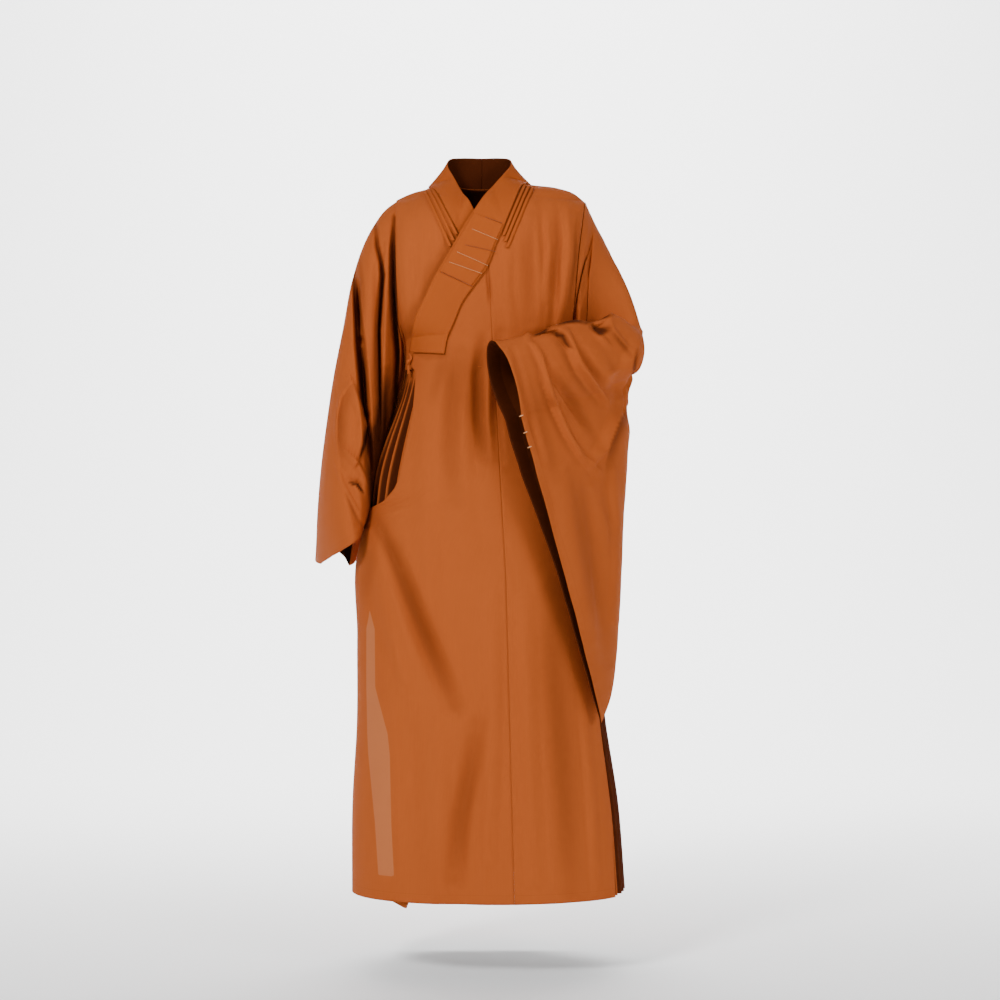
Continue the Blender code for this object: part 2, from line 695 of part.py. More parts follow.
def ring_values(rows, at):
    """A sleeve table's sizes at ring numbers, as a dictionary of arrays."""
    known = np.arange(len(rows), dtype=float)
    return {name: smooth_between(known, column(RING_COLUMNS, rows, name), at) for name in RING_COLUMNS}


def sleeve_relief(at, down, chord, folds):
    """Height of a sleeve layer's folds at a ring number and share down the ring."""
    total = np.zeros(np.broadcast(at, down).shape)
    for ring0, down0, ring1, down1, half_width, height in folds:
        step_ring = (ring1 - ring0) * RING_SPACING
        step_down = (down1 - down0) * chord
        along = (at - ring0) * RING_SPACING * step_ring + (down - down0) * chord * step_down
        share = np.clip(along / (step_ring**2 + step_down**2), 0.0, 1.0)
        away_ring = (at - ring0) * RING_SPACING - share * step_ring
        away_down = (down - down0) * chord - share * step_down
        fade = np.sin(np.pi * np.clip(0.15 + 0.70 * share, 0.0, 1.0))
        total = total + height * fade * bell(np.hypot(away_ring, away_down) / half_width)
    return total


def side_x(z, side):
    """The body's side edge at a height."""
    drops = np.linspace(0.0, 0.45, 90)
    x = section(drops, "centre") + side * section(drops, "half_width")
    heights = level(x, drops)
    return np.interp(z, heights[::-1], x[::-1])


def crowded(count, marks):
    """Places round a ring from 0 to 1, closer together near the marks."""
    fine = np.linspace(0.0, 1.0, 721)
    density = np.ones_like(fine)
    for mark in marks:
        density = density + CROWD_GAIN * bell(np.abs(fine - mark) / CROWD_REACH)
    total = np.concatenate([[0.0], np.cumsum((density[1:] + density[:-1]) / 2)])
    return np.interp(np.arange(count) / count, total / total[-1], fine)


def sleeve_grid(rings, side, at, turns, front_folds, back_folds, dip):
    """Rings of a sleeve. turns holds the angle round each ring: 0 the top, then the front layer."""
    values = {name: value[:, None] for name, value in ring_values(rings, at).items()}
    top = np.stack([values["top_x"], values["top_y"], values["top_z"]], axis=-1)
    bottom = np.stack([values["bottom_x"], values["bottom_y"], values["bottom_z"]], axis=-1)
    down = (1 - np.cos(turns)) / 2
    chord = np.linalg.norm(bottom - top, axis=-1)
    turn = np.radians(values["turn"])
    faces_back = np.stack([np.cos(turn), np.sin(turn), np.zeros_like(turn)], axis=-1)
    leant = down ** values["lean"]
    lens = 2 * np.sqrt(np.clip(leant * (1 - leant), 0.0, 1.0))
    room = values["arm"] * np.sin(np.pi * np.clip(down / ARM_SHARE, 0.0, 1.0)) ** 0.8
    in_front = np.sin(turns) >= 0
    ring = at[:, None]
    front = values["front"] * lens + room + sleeve_relief(ring, down, chord, front_folds) * lens
    back = values["back"] * lens + room + sleeve_relief(ring, down, chord, back_folds) * lens
    offset = np.where(in_front, -front, back)
    grid = top + (bottom - top) * down[..., None] + faces_back * offset[..., None]
    seat = side_x(grid[:1, :, 2], side) + side * (WALL + GAP)
    shift = (seat - grid[:1, :, 0]) * np.clip(1 - ring / 1.6, 0.0, 1.0) ** 2
    grid[..., 0] += shift
    rim = ease((ring - (len(rings) - 4)) / 3)
    grid[..., 2] -= dip * rim * np.where(in_front, 0.0, np.abs(np.sin(turns)))
    return grid


def make_sleeves():
    """Both sleeves: tubes from the armhole to the cuff, open at each end."""
    at = np.concatenate([SLEEVE_STARTS, np.linspace(0.5, len(LEFT_RINGS) - 1.0, LEFT_ALONG)])
    turns = np.repeat(np.arange(LEFT_ROUND)[None, :] / LEFT_ROUND * 2 * np.pi, len(at), axis=0)
    left = sleeve_grid(LEFT_RINGS, 1, at, turns, LEFT_FRONT_FOLDS, LEFT_BACK_FOLDS, 0.0)
    add_wall("sleeve_left", left, WALL, closed=True)

    at = np.concatenate([SLEEVE_STARTS, np.linspace(0.5, len(RIGHT_RINGS) - 1.0, RIGHT_ALONG)])
    turns = []
    for ring in at:
        valley = np.interp(ring, VALLEY_RINGS, VALLEY_DOWN)
        slit = np.interp(ring, SLIT_RINGS, SLIT_DOWN)
        places = [math.acos(1 - 2 * share) / (2 * math.pi) for share in (valley, slit)]
        turns.append(crowded(RIGHT_ROUND, places) * 2 * np.pi)
    turns = np.array(turns)
    right = sleeve_grid(RIGHT_RINGS, -1, at, turns, RIGHT_FRONT_FOLDS, RIGHT_BACK_FOLDS, CUFF_DIP)
    add_wall("sleeve_right", right, WALL, closed=True)


def make_side_tie():
    """The knotted tie at the right waist: a knot with a loop up and a tail down."""
    lift = WALL / 2 + GAP + TIE_LIFT
    middle = front_at(np.array(TIE_X), np.array(TIE_Z), lift)
    across = unit(front_at(np.array(TIE_X + 0.01), np.array(TIE_Z), lift) - middle)
    upward = np.array([0.0, 0.0, 1.0])
    outward = unit(np.cross(across, upward))
    rows = []
    for index, (along, up) in enumerate(TIE_PATH):
        from_knot = abs(index - TIE_KNOT_ROW)
        half = TIE_WIDTH / 2 * (KNOT_WIDER if from_knot == 0 else 1.0)
        centre = middle + across * along + upward * up + outward * KNOT_BULGE * bell(from_knot / 2.5)
        rows.append([centre - across * half, centre + outward * TIE_CROWN, centre + across * half])
    add_wall("side_tie", np.array(rows), TIE_WALL)


def build():
    """The whole robe."""
    for item in list(bpy.data.objects):
        bpy.data.objects.remove(item, do_unlink=True)
    make_fronts()
    make_inner_front()
    make_backs()
    make_side_pleats()
    make_collar()
    make_strips()
    make_sleeves()
    make_side_tie()


build()
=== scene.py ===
"""The robe's visible cloth: each panel as a thin shell on its solid's form, with its folds and stitches."""

import math

import bpy
import numpy as np
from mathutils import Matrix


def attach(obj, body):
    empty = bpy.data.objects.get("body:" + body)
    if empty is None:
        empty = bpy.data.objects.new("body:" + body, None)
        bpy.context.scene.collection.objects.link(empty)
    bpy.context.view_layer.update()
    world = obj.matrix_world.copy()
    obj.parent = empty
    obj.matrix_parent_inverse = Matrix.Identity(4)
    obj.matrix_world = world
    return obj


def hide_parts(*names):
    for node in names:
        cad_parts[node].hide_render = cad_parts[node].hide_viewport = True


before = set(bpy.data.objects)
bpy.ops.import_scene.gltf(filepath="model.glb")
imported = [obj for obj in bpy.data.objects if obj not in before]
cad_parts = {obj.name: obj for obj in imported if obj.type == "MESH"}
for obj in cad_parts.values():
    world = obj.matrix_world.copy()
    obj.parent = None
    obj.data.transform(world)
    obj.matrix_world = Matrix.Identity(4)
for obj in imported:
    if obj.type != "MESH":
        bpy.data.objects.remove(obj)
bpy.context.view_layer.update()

# Cloth and seams
WALL = 0.0012
COLLAR_WALL = 0.0022
TRIM_WALL = 0.0010
GAP = 0.0004
ROOM = 0.0015
ON_PANEL = WALL / 2 + COLLAR_WALL / 2 + GAP + ROOM
ON_INNER = ON_PANEL + ROOM
LAP_INSET = WALL + GAP + ROOM
SHOULDER_CORNER = 0.0018

# Body of the robe
HEM_DROP = 1.255
SHOULDER_DROP = 0.100
SHOULDER_TURN = 0.160
CREST_FADE = 0.35
BOXINESS = 0.90
SIDE = math.pi / 2
SEAM_ANGLE = 0.0020

BODY_COLUMNS = ("drop", "centre", "half_width", "front", "back")
BODY_SECTIONS = (
    (0.000, 0.0155, 0.1685, 0.105, 0.100),
    (0.100, 0.0100, 0.1620, 0.115, 0.115),
    (0.200, 0.0080, 0.1560, 0.122, 0.118),
    (0.300, 0.0110, 0.1470, 0.128, 0.108),
    (0.400, 0.0035, 0.1615, 0.134, 0.110),
    (0.500, 0.0010, 0.1790, 0.138, 0.126),
    (0.570, -0.0020, 0.1920, 0.142, 0.140),
    (0.640, -0.0105, 0.2105, 0.147, 0.150),
    (0.800, -0.0070, 0.2170, 0.156, 0.165),
    (0.950, 0.0010, 0.2255, 0.165, 0.180),
    (1.100, 0.0085, 0.2410, 0.175, 0.195),
    (1.255, 0.0145, 0.2475, 0.185, 0.210),
)

# The shoulder line, seen from the front
CREST_COLUMNS = ("x", "z")
CREST_LINE = (
    (-0.1600, -0.0195),
    (-0.1480, -0.0130),
    (-0.1220, -0.0020),
    (-0.0990, 0.0040),
    (-0.0790, 0.0115),
    (-0.0400, 0.0200),
    (0.0400, 0.0210),
    (0.0900, 0.0115),
    (0.1370, 0.0055),
    (0.1670, -0.0050),
    (0.1870, -0.0215),
)

# Where every panel's first row lies, as a run over the shoulder
FIRST_RUN = 0.0010
# Step over which slopes of the body are measured, and how sharply some forms keep to its sides
SLOPE_STEP = 0.004
AT_SIDE = 6

# Armholes, as ellipses seen from the side
ARM_BOTTOM = -0.262
ARM_FRONT = 0.075
ARM_BACK = 0.085

# Unevenness: height, random seed and size on the body, then the number, headings, sizes and length of waves
BODY_ROUGH = 0.0012
BODY_SEED = 5
BODY_ROUGH_SIZE = 0.12
ROUGH_WAVES = 7
ROUGH_TURN = 0.5
ROUGH_SIZES = (0.6, 1.8)
ROUGH_LONG = 0.35

# How folds and creases fade at their ends, as shares of a half wave and as powers of it
FOLD_START = 0.12
FOLD_WHOLE = 0.76
FOLD_TO_HEM = 0.38
SLEEVE_FOLD_START = 0.15
SLEEVE_FOLD_WHOLE = 0.70
CREASE_END = 0.04
SEEN_FADE = 0.5
BACK_FADE = 0.7

# Soft folds of the body: start x and z, end x and z, half width, height out of the cloth
FRONT_FOLDS = (
    (-0.172, -0.605, -0.131, -0.719, 0.030, -0.011),
    (-0.131, -0.719, -0.052, -0.905, 0.038, -0.009),
    (-0.175, -0.640, -0.120, -0.860, 0.035, 0.007),
    (-0.015, -0.940, -0.036, -1.255, 0.045, -0.006),
    (0.110, -0.020, 0.125, -0.190, 0.020, -0.006),
    (0.085, -0.010, 0.095, -0.160, 0.018, 0.005),
    (-0.110, -0.030, -0.112, -0.200, 0.022, 0.005),
    (-0.060, -0.340, -0.030, -0.700, 0.040, 0.006),
)
BACK_FOLDS = (
    (0.000, -0.100, 0.010, -1.255, 0.060, -0.012),
    (0.085, -0.180, 0.120, -1.255, 0.050, 0.013),
    (-0.090, -0.160, -0.125, -1.255, 0.055, 0.014),
    (0.150, -0.420, 0.190, -1.255, 0.040, -0.012),
    (-0.150, -0.480, -0.190, -1.255, 0.045, -0.011),
    (0.045, -0.500, 0.060, -1.255, 0.035, 0.010),
    (-0.045, -0.620, -0.060, -1.255, 0.038, 0.009),
)

# Edges of the front panels, as x at each height
EDGE_COLUMNS = ("z", "x")
LAP_EDGE = (
    (-0.640, -0.260),
    (-0.624, -0.222),
    (-0.598, -0.206),
    (-0.570, -0.190),
    (-0.556, -0.1665),
    (-0.535, -0.150),
    (-0.518, -0.1426),
    (-0.454, -0.130),
    (-0.406, -0.1216),
    (-0.340, -0.1170),
    (-0.326, -0.1180),
    (-0.312, -0.1280),
    (-0.296, -0.1210),
    (-0.250, -0.0980),
    (-0.210, -0.0780),
    (-0.165, -0.0520),
    (-0.130, -0.0100),
    (-0.100, 0.0180),
    (-0.074, 0.0350),
    (-0.044, 0.0475),
    (-0.010, 0.0615),
    (0.004, 0.0670),
    (0.020, 0.0725),
)
WIDTH_SEAM = (
    (-1.255, 0.0575),
    (-0.690, 0.0430),
    (-0.200, 0.0150),
    (-0.110, 0.0100),
    (0.004, 0.0050),
)
LEFT_EDGE_ANGLE = (
    (-1.255, math.radians(62)),
    (-0.950, math.radians(66)),
    (-0.400, math.radians(74)),
    (-0.330, SIDE - SEAM_ANGLE),
    (0.010, SIDE - SEAM_ANGLE),
)
INNER_EDGE = (
    (-1.262, 0.020),
    (-0.350, 0.060),
    (-0.200, 0.050),
    (-0.115, 0.000),
    (-0.095, -0.0260),
    (-0.080, -0.0380),
    (-0.048, -0.0555),
    (-0.010, -0.0750),
    (0.002, -0.0785),
    (0.020, -0.0830),
)
# The back's rows run on over the shoulder to the neck: how far, from which share, over how much, and
# the run by which they are level again
NECK_RUN = 0.052
NECK_FROM = 0.52
NECK_OVER = 0.42
NECK_FADE = 0.25
# The inner front inside the outer one
INNER_INSET = 0.0088
INSET_START = 0.028
INSET_FULL = 0.002
INSET_FROM_ANGLE = math.radians(88)
INSET_OVER_ANGLE = math.radians(16)
CORNER_STEP = 0.0010
# Its slanting toe at the hem
INNER_TOE = 0.012
TOE_HEIGHT = 0.05
TOE_WIDTH = 0.027
TOE_RETURN = 0.006
# Least angle from the lapping width's edge to its seam
LEAST_LAP = 0.02
# Where the skirt's side openings begin and end, and the back's edge from the drop at which it turns in
SKIRT_ANGLE = math.radians(44)
BACK_LAP_ANGLE = math.radians(104)
BACK_LAP_FROM = 0.300
BACK_LAP_OVER = 0.060

# Collar bands: outer (sewn) and inner (free) edges, from the centre back down the front.
# Rows with a depth lie round the neck; the others lie on the chest.
BAND_COLUMNS = ("outer_x", "outer_z", "outer_y", "inner_x", "inner_z", "inner_y")
LEFT_BAND = (
    (0.0003, -0.002, 0.0722, 0.0003, 0.066, 0.046),
    (0.036, -0.001, 0.0690, 0.030, 0.066, 0.040),
    (0.0720, 0.0050, 0.0530, 0.049, 0.061, 0.022),
    (0.0880, 0.0130, 0.008, 0.0515, 0.048, -0.004),
    (0.0695, 0.001, None, 0.041, 0.031, -0.032),
    (0.0545, -0.036, None, 0.023, 0.007, -0.058),
    (0.0390, -0.074, None, 0.003, -0.021, None),
    (0.026, -0.104, None, -0.012, -0.044, None),
    (0.010, -0.146, None, -0.032, -0.075, None),
    (-0.015, -0.182, None, -0.050, -0.107, None),
    (-0.034, -0.210, None, -0.083, -0.164, None),
    (-0.048, -0.244, None, -0.099, -0.198, None),
    (-0.058, -0.268, None, -0.116, -0.236, None),
    (-0.064, -0.298, None, -0.1255, -0.292, None),
)
# The left band's first row whose inner edge lies on the chest
CHEST_ROW = 6
RIGHT_BAND = (
    (-0.0003, -0.002, 0.0722, -0.0003, 0.066, 0.046),
    (-0.038, -0.001, 0.0690, -0.034, 0.066, 0.040),
    (-0.0770, 0.0050, 0.0530, -0.057, 0.061, 0.020),
    (-0.0965, 0.0090, 0.008, -0.0615, 0.046, -0.006),
    (-0.0785, -0.010, None, -0.050, 0.022, -0.034),
    (-0.0590, -0.048, None, -0.036, -0.006, -0.060),
    (-0.0385, -0.086, None, -0.018, -0.034, None),
    (-0.014, -0.122, None, 0.004, -0.070, None),
)

# Layered strips along the collar seams: start x and z, end x and z on the chest
LEFT_STRIPS = (
    (0.0765, 0.006, 0.0385, -0.090),
    (0.0835, 0.004, 0.0415, -0.101),
    (0.0905, 0.001, 0.0445, -0.112),
)
RIGHT_STRIPS = (
    (-0.0882, 0.002, -0.0437, -0.088),
    (-0.0945, 0.000, -0.0490, -0.099),
    (-0.1015, -0.003, -0.0550, -0.109),
)
STRIP_WIDTH = 0.0052
STRIP_CROWN = 0.0004
STRIP_THIN = 0.8
STRIP_ROWS = 60
STRIP_COLUMNS = 8

# Sleeves: rings from the armhole to the cuff, flat pockets between a top and a bottom point.
# turn is the azimuth that the back layer faces; front and back are how far each layer bellies out,
# and arm is the extra room round the forearm, near the top.
RING_COLUMNS = (
    "top_x", "top_y", "top_z", "bottom_x", "bottom_y", "bottom_z", "turn", "front", "back", "arm",
    "lean",
)
LEFT_RINGS = (
    (0.184, 0.000, -0.0190, 0.161, 0.000, -0.262, 90, 0.075, 0.085, 0.000, 1.00),
    (0.203, 0.000, -0.058, 0.177, 0.018, -0.345, 80, 0.076, 0.085, 0.000, 1.00),
    (0.229, 0.000, -0.115, 0.194, 0.035, -0.450, 62, 0.064, 0.068, 0.002, 0.95),
    (0.258, -0.005, -0.185, 0.216, 0.045, -0.580, 35, 0.038, 0.030, 0.008, 0.85),
    (0.270, -0.020, -0.240, 0.238, 0.030, -0.690, 5, 0.022, 0.010, 0.018, 0.75),
    (0.245, -0.065, -0.236, 0.243, -0.005, -0.770, -15, 0.018, 0.010, 0.024, 0.70),
    (0.185, -0.120, -0.246, 0.239, -0.036, -0.840, -30, 0.018, 0.011, 0.026, 0.65),
    (0.105, -0.190, -0.256, 0.229, -0.076, -0.900, -42, 0.026, 0.012, 0.024, 0.62),
    (0.022, -0.262, -0.279, 0.210, -0.120, -0.945, -46, 0.030, 0.012, 0.012, 0.60),
)
RIGHT_RINGS = (
    (-0.153, 0.000, -0.0155, -0.1415, 0.000, -0.262, 90, 0.075, 0.085, 0.000, 1.0),
    (-0.180, 0.000, -0.040, -0.148, 0.014, -0.274, 90, 0.078, 0.088, 0.000, 1.0),
    (-0.211, 0.000, -0.093, -0.147, 0.030, -0.288, 90, 0.083, 0.098, 0.000, 1.0),
    (-0.234, 0.000, -0.163, -0.145, 0.046, -0.308, 90, 0.088, 0.104, 0.000, 1.0),
    (-0.249, 0.000, -0.243, -0.1445, 0.058, -0.339, 91, 0.094, 0.108, 0.000, 1.0),
    (-0.266, 0.000, -0.328, -0.1525, 0.066, -0.386, 93, 0.100, 0.112, 0.000, 1.0),
    (-0.279, 0.000, -0.414, -0.1675, 0.066, -0.445, 96, 0.106, 0.120, 0.000, 1.0),
    (-0.289, 0.005, -0.500, -0.1850, 0.059, -0.501, 99, 0.113, 0.130, 0.000, 1.0),
    (-0.293, 0.010, -0.585, -0.2050, 0.046, -0.560, 102, 0.121, 0.140, 0.000, 1.0),
    (-0.290, 0.015, -0.670, -0.229, 0.030, -0.625, 105, 0.129, 0.150, 0.000, 1.0),
)
ARM_SHARE = 0.20
ARM_FULLNESS = 0.8
# Distance from ring to ring, for the widths of folds
RING_SPACING = 0.085
# Rows of a sleeve crowded towards the cuff, by side: 1 the left, -1 the right
RINGS_CROWDED = {1: 0.10, -1: -0.02}
# Share of the points round a ring that lie on the layer that is seen
SEEN_SHARE = 0.66
# Unevenness of the sleeves: seeds by side, height and size of its two parts, and how soon it sets in
SLEEVE_SEEDS = {1: 11, -1: 23}
SLEEVE_ROUGH = 0.0016
SLEEVE_ROUGH_SIZE = 0.16
SLEEVE_FINE_ROUGH = 0.0010
SLEEVE_FINE_SIZE = 0.09
ROUGH_SETTLES = 1.6
# A sleeve's creases stop this far short of its other layer. Both set in from the ring's top and bottom.
LAYERS_CLEAR = 0.0045
CLEAR_SETTLES = 2.0
CREASES_SETTLE = 3.0

# Folds of the sleeves: start ring and share down it, end ring and share, half width, height
LEFT_FRONT_FOLDS = (
    (0.10, 0.75, 1.10, 0.08, 0.010, -0.016),
    (1.20, 0.20, 2.40, 0.60, 0.030, -0.012),
)
LEFT_BACK_FOLDS = (
    (7.20, 0.13, 6.10, 0.43, 0.030, 0.007),
    (6.35, 0.08, 5.60, 0.25, 0.026, 0.007),
    (6.80, 0.20, 5.40, 0.70, 0.040, -0.006),
    (4.30, 0.06, 4.60, 0.30, 0.022, -0.014),
    (1.20, 0.15, 3.20, 0.75, 0.040, -0.014),
    (0.60, 0.30, 2.20, 0.90, 0.034, 0.010),
)
RIGHT_FRONT_FOLDS = (
    (2.80, 0.10, 4.00, 0.28, 0.0110, -0.045),
    (4.00, 0.28, 5.60, 0.52, 0.0125, -0.050),
    (5.60, 0.52, 7.20, 0.74, 0.0120, -0.040),
    (1.20, 0.62, 2.60, 0.82, 0.0065, -0.018),
    (2.60, 0.82, 5.80, 0.90, 0.0065, -0.024),
    (7.10, 0.30, 8.60, 0.62, 0.0140, -0.008),
)
RIGHT_BACK_FOLDS = (
    (1.80, 0.30, 8.80, 0.34, 0.0160, -0.040),
    (2.40, 0.66, 8.80, 0.66, 0.0140, -0.030),
)

# The side tie at the right waist
TIE_X = -0.1255
TIE_Z = -0.3085
TIE_WIDTH = 0.0085
TIE_WALL = 0.0022
TIE_LIFT = 0.0004
KNOT_BULGE = 0.0025
KNOT_WIDER = 1.25
KNOT_REACH = 1.3
TIE_ROWS = 60
TIE_AROUND = 40
TIE_THIN = 0.4
# Half the thickness of its folded strip, and the strip's puckers
TIE_THICK = 0.0014
PUCKER = 0.12
PUCKERS = 5
PUCKER_REACH = 4.0
# The knot over it: rows, wall, then shares of the tie's width and heights in metres
KNOT_ROWS = 24
KNOT_WALL = 0.0008
KNOT_HALF = 0.62
KNOT_HEIGHT = 0.40
KNOT_TAPER = 0.25
KNOT_ROUND = 0.92
KNOT_CROWN = 0.0022
KNOT_SUNK = 0.0010
KNOT_TILT = 0.0012
KNOT_THICK = 0.0018

# Middle line of the tie: across and up from the knot, from the loop to the tail
TIE_PATH = (
    (-0.002, 0.014),
    (0.003, 0.010),
    (0.004, 0.004),
    (0.000, 0.000),
    (-0.004, -0.006),
    (-0.005, -0.014),
    (-0.004, -0.022),
)
TIE_KNOT_ROW = 3

# The pleated inserts: their top, first angle in degrees, waves and how deep they are down their length
PLEAT_TOP = -0.322
LEFT_PLEATS_FROM = 57
RIGHT_PLEATS_FROM = 48
PLEATS_OVER_BACK = math.radians(3.5)
PLEAT_WAVES = 5
PLEAT_SHALLOW = 0.004
PLEAT_DEEPER = 0.012
PLEAT_DEEPER_OVER = 0.12
# Across them: room under the front panel, the flat strip at the front and the folded share
PLEAT_ROOM = 0.0045
PLEAT_ROOM_OVER = 0.3
PLEAT_FLAT = 0.08
PLEAT_FOLDED = 0.80
# Their painted shade: between the ridges, then towards the back, then on the whole of the left one
PLEAT_EDGE = 0.16
PLEAT_DARK_OVER = 0.03
PLEAT_FAR_DARK = 0.75
PLEAT_FAR_FROM = 0.42
PLEAT_FAR_OVER = 0.25
LEFT_DARK_FROM = 0.30
LEFT_DARK_OVER = 0.10

# Colours
CLOTH_COLOUR = (0.338, 0.071, 0.014, 1.0)
CLOTH_LIGHTER = (0.376, 0.083, 0.017, 1.0)
BAND_COLOUR = (0.315, 0.064, 0.011, 1.0)
BAND_LIGHTER = (0.350, 0.074, 0.013, 1.0)
# Painted shade: the colour that insides and fold hollows are painted towards
PAINTED_SHADE_COLOUR = (0.070, 0.014, 0.004, 1.0)
# Painted light: the colour of the band where light shines through a single layer of cloth
PAINTED_LIGHT_COLOUR = (0.450, 0.165, 0.070, 1.0)
THREAD_PALE = (0.720, 0.330, 0.140, 1.0)
THREAD_DARK = (0.200, 0.045, 0.010, 1.0)
# Surface of the cloth, its weave and its streaks
CLOTH_ROUGHNESS = 0.75
CLOTH_SPECULAR = 0.03
SHEEN_WEIGHT = 0.006
SHEEN_ROUGHNESS = 0.45
SHEEN_TINT = (1.0, 0.72, 0.50, 1.0)
WEAVE = 330.0
WEAVE_STRENGTH = 0.35
WEAVE_HEIGHT = 0.0002
SLOW_TONES = (5.0, 5.0, 3.0)
STREAKS = (620.0, 16.0, 1.0)
STREAK_FROM = 0.35
STREAK_AMOUNT = 0.45
STREAK_TONE = 0.78
# Surface of the thread
THREAD_ROUGHNESS = 0.55
THREAD_TWIST = (900.0, 900.0, 900.0)
TWIST_TONE = 0.7

# A point well inside the robe, from which outsides are told
ROBE_MIDDLE = np.array([0.0, 0.0, -0.6])

# Seams here are all but shut
SEAM_OPEN = 0.00012
# The right cuff along picture x: how far its near layer is raised and its far one lowered, mm
CUFF_AT = (317.0, 324.0, 332.0, 345.0, 354.0, 362.0, 369.0)
CUFF_NEAR_UP = (-5.0, 5.0, 12.0, 17.0, 17.0, 14.0, 0.0)
CUFF_FAR_DOWN = (0.0, 0.0, 4.0, 32.0, 68.0, 92.0, 92.0)
CUFF_RINGS = 3
CUFF_CORNER = 0.03
# How far the raised cuff's far layer lies against the near one, and where that sets in
FAR_LAYER_SHUT = 0.80
SHUT_FROM_DOWN = 0.25
SHUT_OVER_DOWN = 0.40
SHUT_FROM_RING = 6.0
SHUT_OVER_RINGS = 1.6
# Painted shade: how dark the raised sleeve's inner side is painted, and over how many rings by the cuff its
# far layer is painted fully in shade
SLEEVE_INSIDE_SHADE = 0.88
DARK_RIM = 0.3
# The raised sleeve's rings: up to which both layers take creases, and from which the creases of the
# forearm and its shade set in. The last of its creases lie on the upper arm.
BOTH_LAYERS_TO = 1.6
LOWER_CREASES_FROM = 2.2
SHADE_FROM = 3.0
SET_IN_OVER = 0.8
UPPER_CREASES = 3
# Where the rise of the raised forearm's top edge sets in, and its reach down the sleeve in metres
RISE_FROM = 4.6
RISE_OVER = 0.5
RISE_REACH = 0.022
# The raised elbow's outline moved in, from a picture x on: picture y, reach and metres
ELBOW_X = 604
ELBOW_OVER = 22
ELBOW_FROM = 3.0
ELBOW_SHIFTS = ((406, 28, 0.0085), (385, 17, 0.0110))
# The right side of the skirt pulled out towards the cuff: how far, its height and reach
PULL_OUT = 0.020
PULL_Z = -0.505
PULL_REACH = 0.140
# The right sleeve's lower edge moved in and back towards the body, round one ring
BOTTOM_IN = 0.022
BOTTOM_BACK = 0.018
BOTTOM_RING = 3.0
BOTTOM_RINGS = 3.4
# How far the right sleeve starts inside the body's side edge, and the rings over which a seat fades
SEAT_UNDER = 0.0030
SEAT_RINGS = 1.6
# Picture lines that bound the stitched patch, its depth, rows and thinner wall
PATCH_TOP_LINE = (484, 217, 502, 224)
PATCH_BOTTOM_LINE = (441, 272, 473, 287)
PATCH_DEPTH = -0.118
PATCH_ROWS = 60
PATCH_THIN = 0.7

# Stitches along the hem, drawn on the cloth: sizes in metres, then share of the pitch, tone and height
HEM_STITCH = 0.016
STITCH_HALF = 0.0004
STITCH_PITCH = 0.0030
STITCH_SHARE = 0.72
STITCH_TONE = 0.35
HEM_RAISED = 1.5
# Stitches of thread
THREAD_RADIUS = 0.00060
PATCH_PITCH = 0.0034
PATCH_STITCH_SHARE = 0.82
TACK_RADIUS = 0.0010
TACK_LENGTH = 0.0080
TACK_DIRECTION = (0.92, -0.10, 0.38)
TACK_OUT = 0.0015

# Sewn lines across the patch, as picture points: start x and y, end x and y
PATCH_PALE_LINES = (
    (472, 229, 498, 240),
    (457, 252, 488, 266),
    (449, 262, 482, 274),
)
PATCH_DARK_LINES = (
    (485, 217, 502, 223),
    (465, 245, 496, 252),
    (441, 272, 473, 287),
)

# Tacks on the raised cuff's edge, as picture points
CUFF_TACKS = ((522.0, 415.0), (524.5, 432.5), (529.0, 448.0))

# Painted light: the paler band down the side of the skirt, where light shines through a single layer of
# cloth. How much paler, and how sharp its edge is
PALE_AMOUNT = 0.50
PALE_EDGE = 900.0
# Its height, left edge and right edge
PALE_BAND = (
    (-1.2120, -0.1815, -0.1520),
    (-1.1200, -0.1880, -0.1570),
    (-1.0020, -0.2010, -0.1600),
    (-0.9650, -0.2030, -0.1640),
    (-0.8840, -0.2050, -0.1870),
    (-0.7820, -0.2050, -0.1880),
    (-0.7640, -0.2010, -0.1930),
    (-0.7500, -0.1990, -0.1970),
)

# Camera and stage
CAMERA_X = 0.0324
CAMERA_AWAY = 4.7
CAMERA_Z = -0.5544
PIXELS_A_METRE = 2611.0
CAMERA_LENS = 94.0
CAMERA_SENSOR = 36.0
FLOOR_Z = -1.39
FLOOR_HALF = 9.0
FLOOR_TURN = 3.0
FLOOR_ROUGHNESS = 0.9
FLOOR_COLOUR = (0.92, 0.92, 0.92, 1.0)
BACKDROP_TOP = 9.0
WORLD_STRENGTH = 0.36
LAMPS = (
    ("key_lamp", (-2.2, -3.8, 2.2), (0.0, 0.0, -0.5), 1.0, 230.0),
    ("fill_lamp", (2.9, -3.6, 0.6), (0.0, 0.0, -0.6), 1.6, 95.0),
    ("backdrop_lamp", (0.0, 2.6, 3.0), (0.0, 6.0, 0.0), 4.0, 900.0),
)

# Rows and columns of points in each piece
FRONT_FINE = (340, 84)
OVERLAP_FINE = (340, 96)
INNER_FINE = (200, 40)
BACK_FINE = (230, 80)
PLEATS_FINE = (130, 120)
BAND_FINE = (240, 22)
LEFT_SLEEVE_FINE = (172, 280)
RIGHT_SLEEVE_FINE = (164, 290)

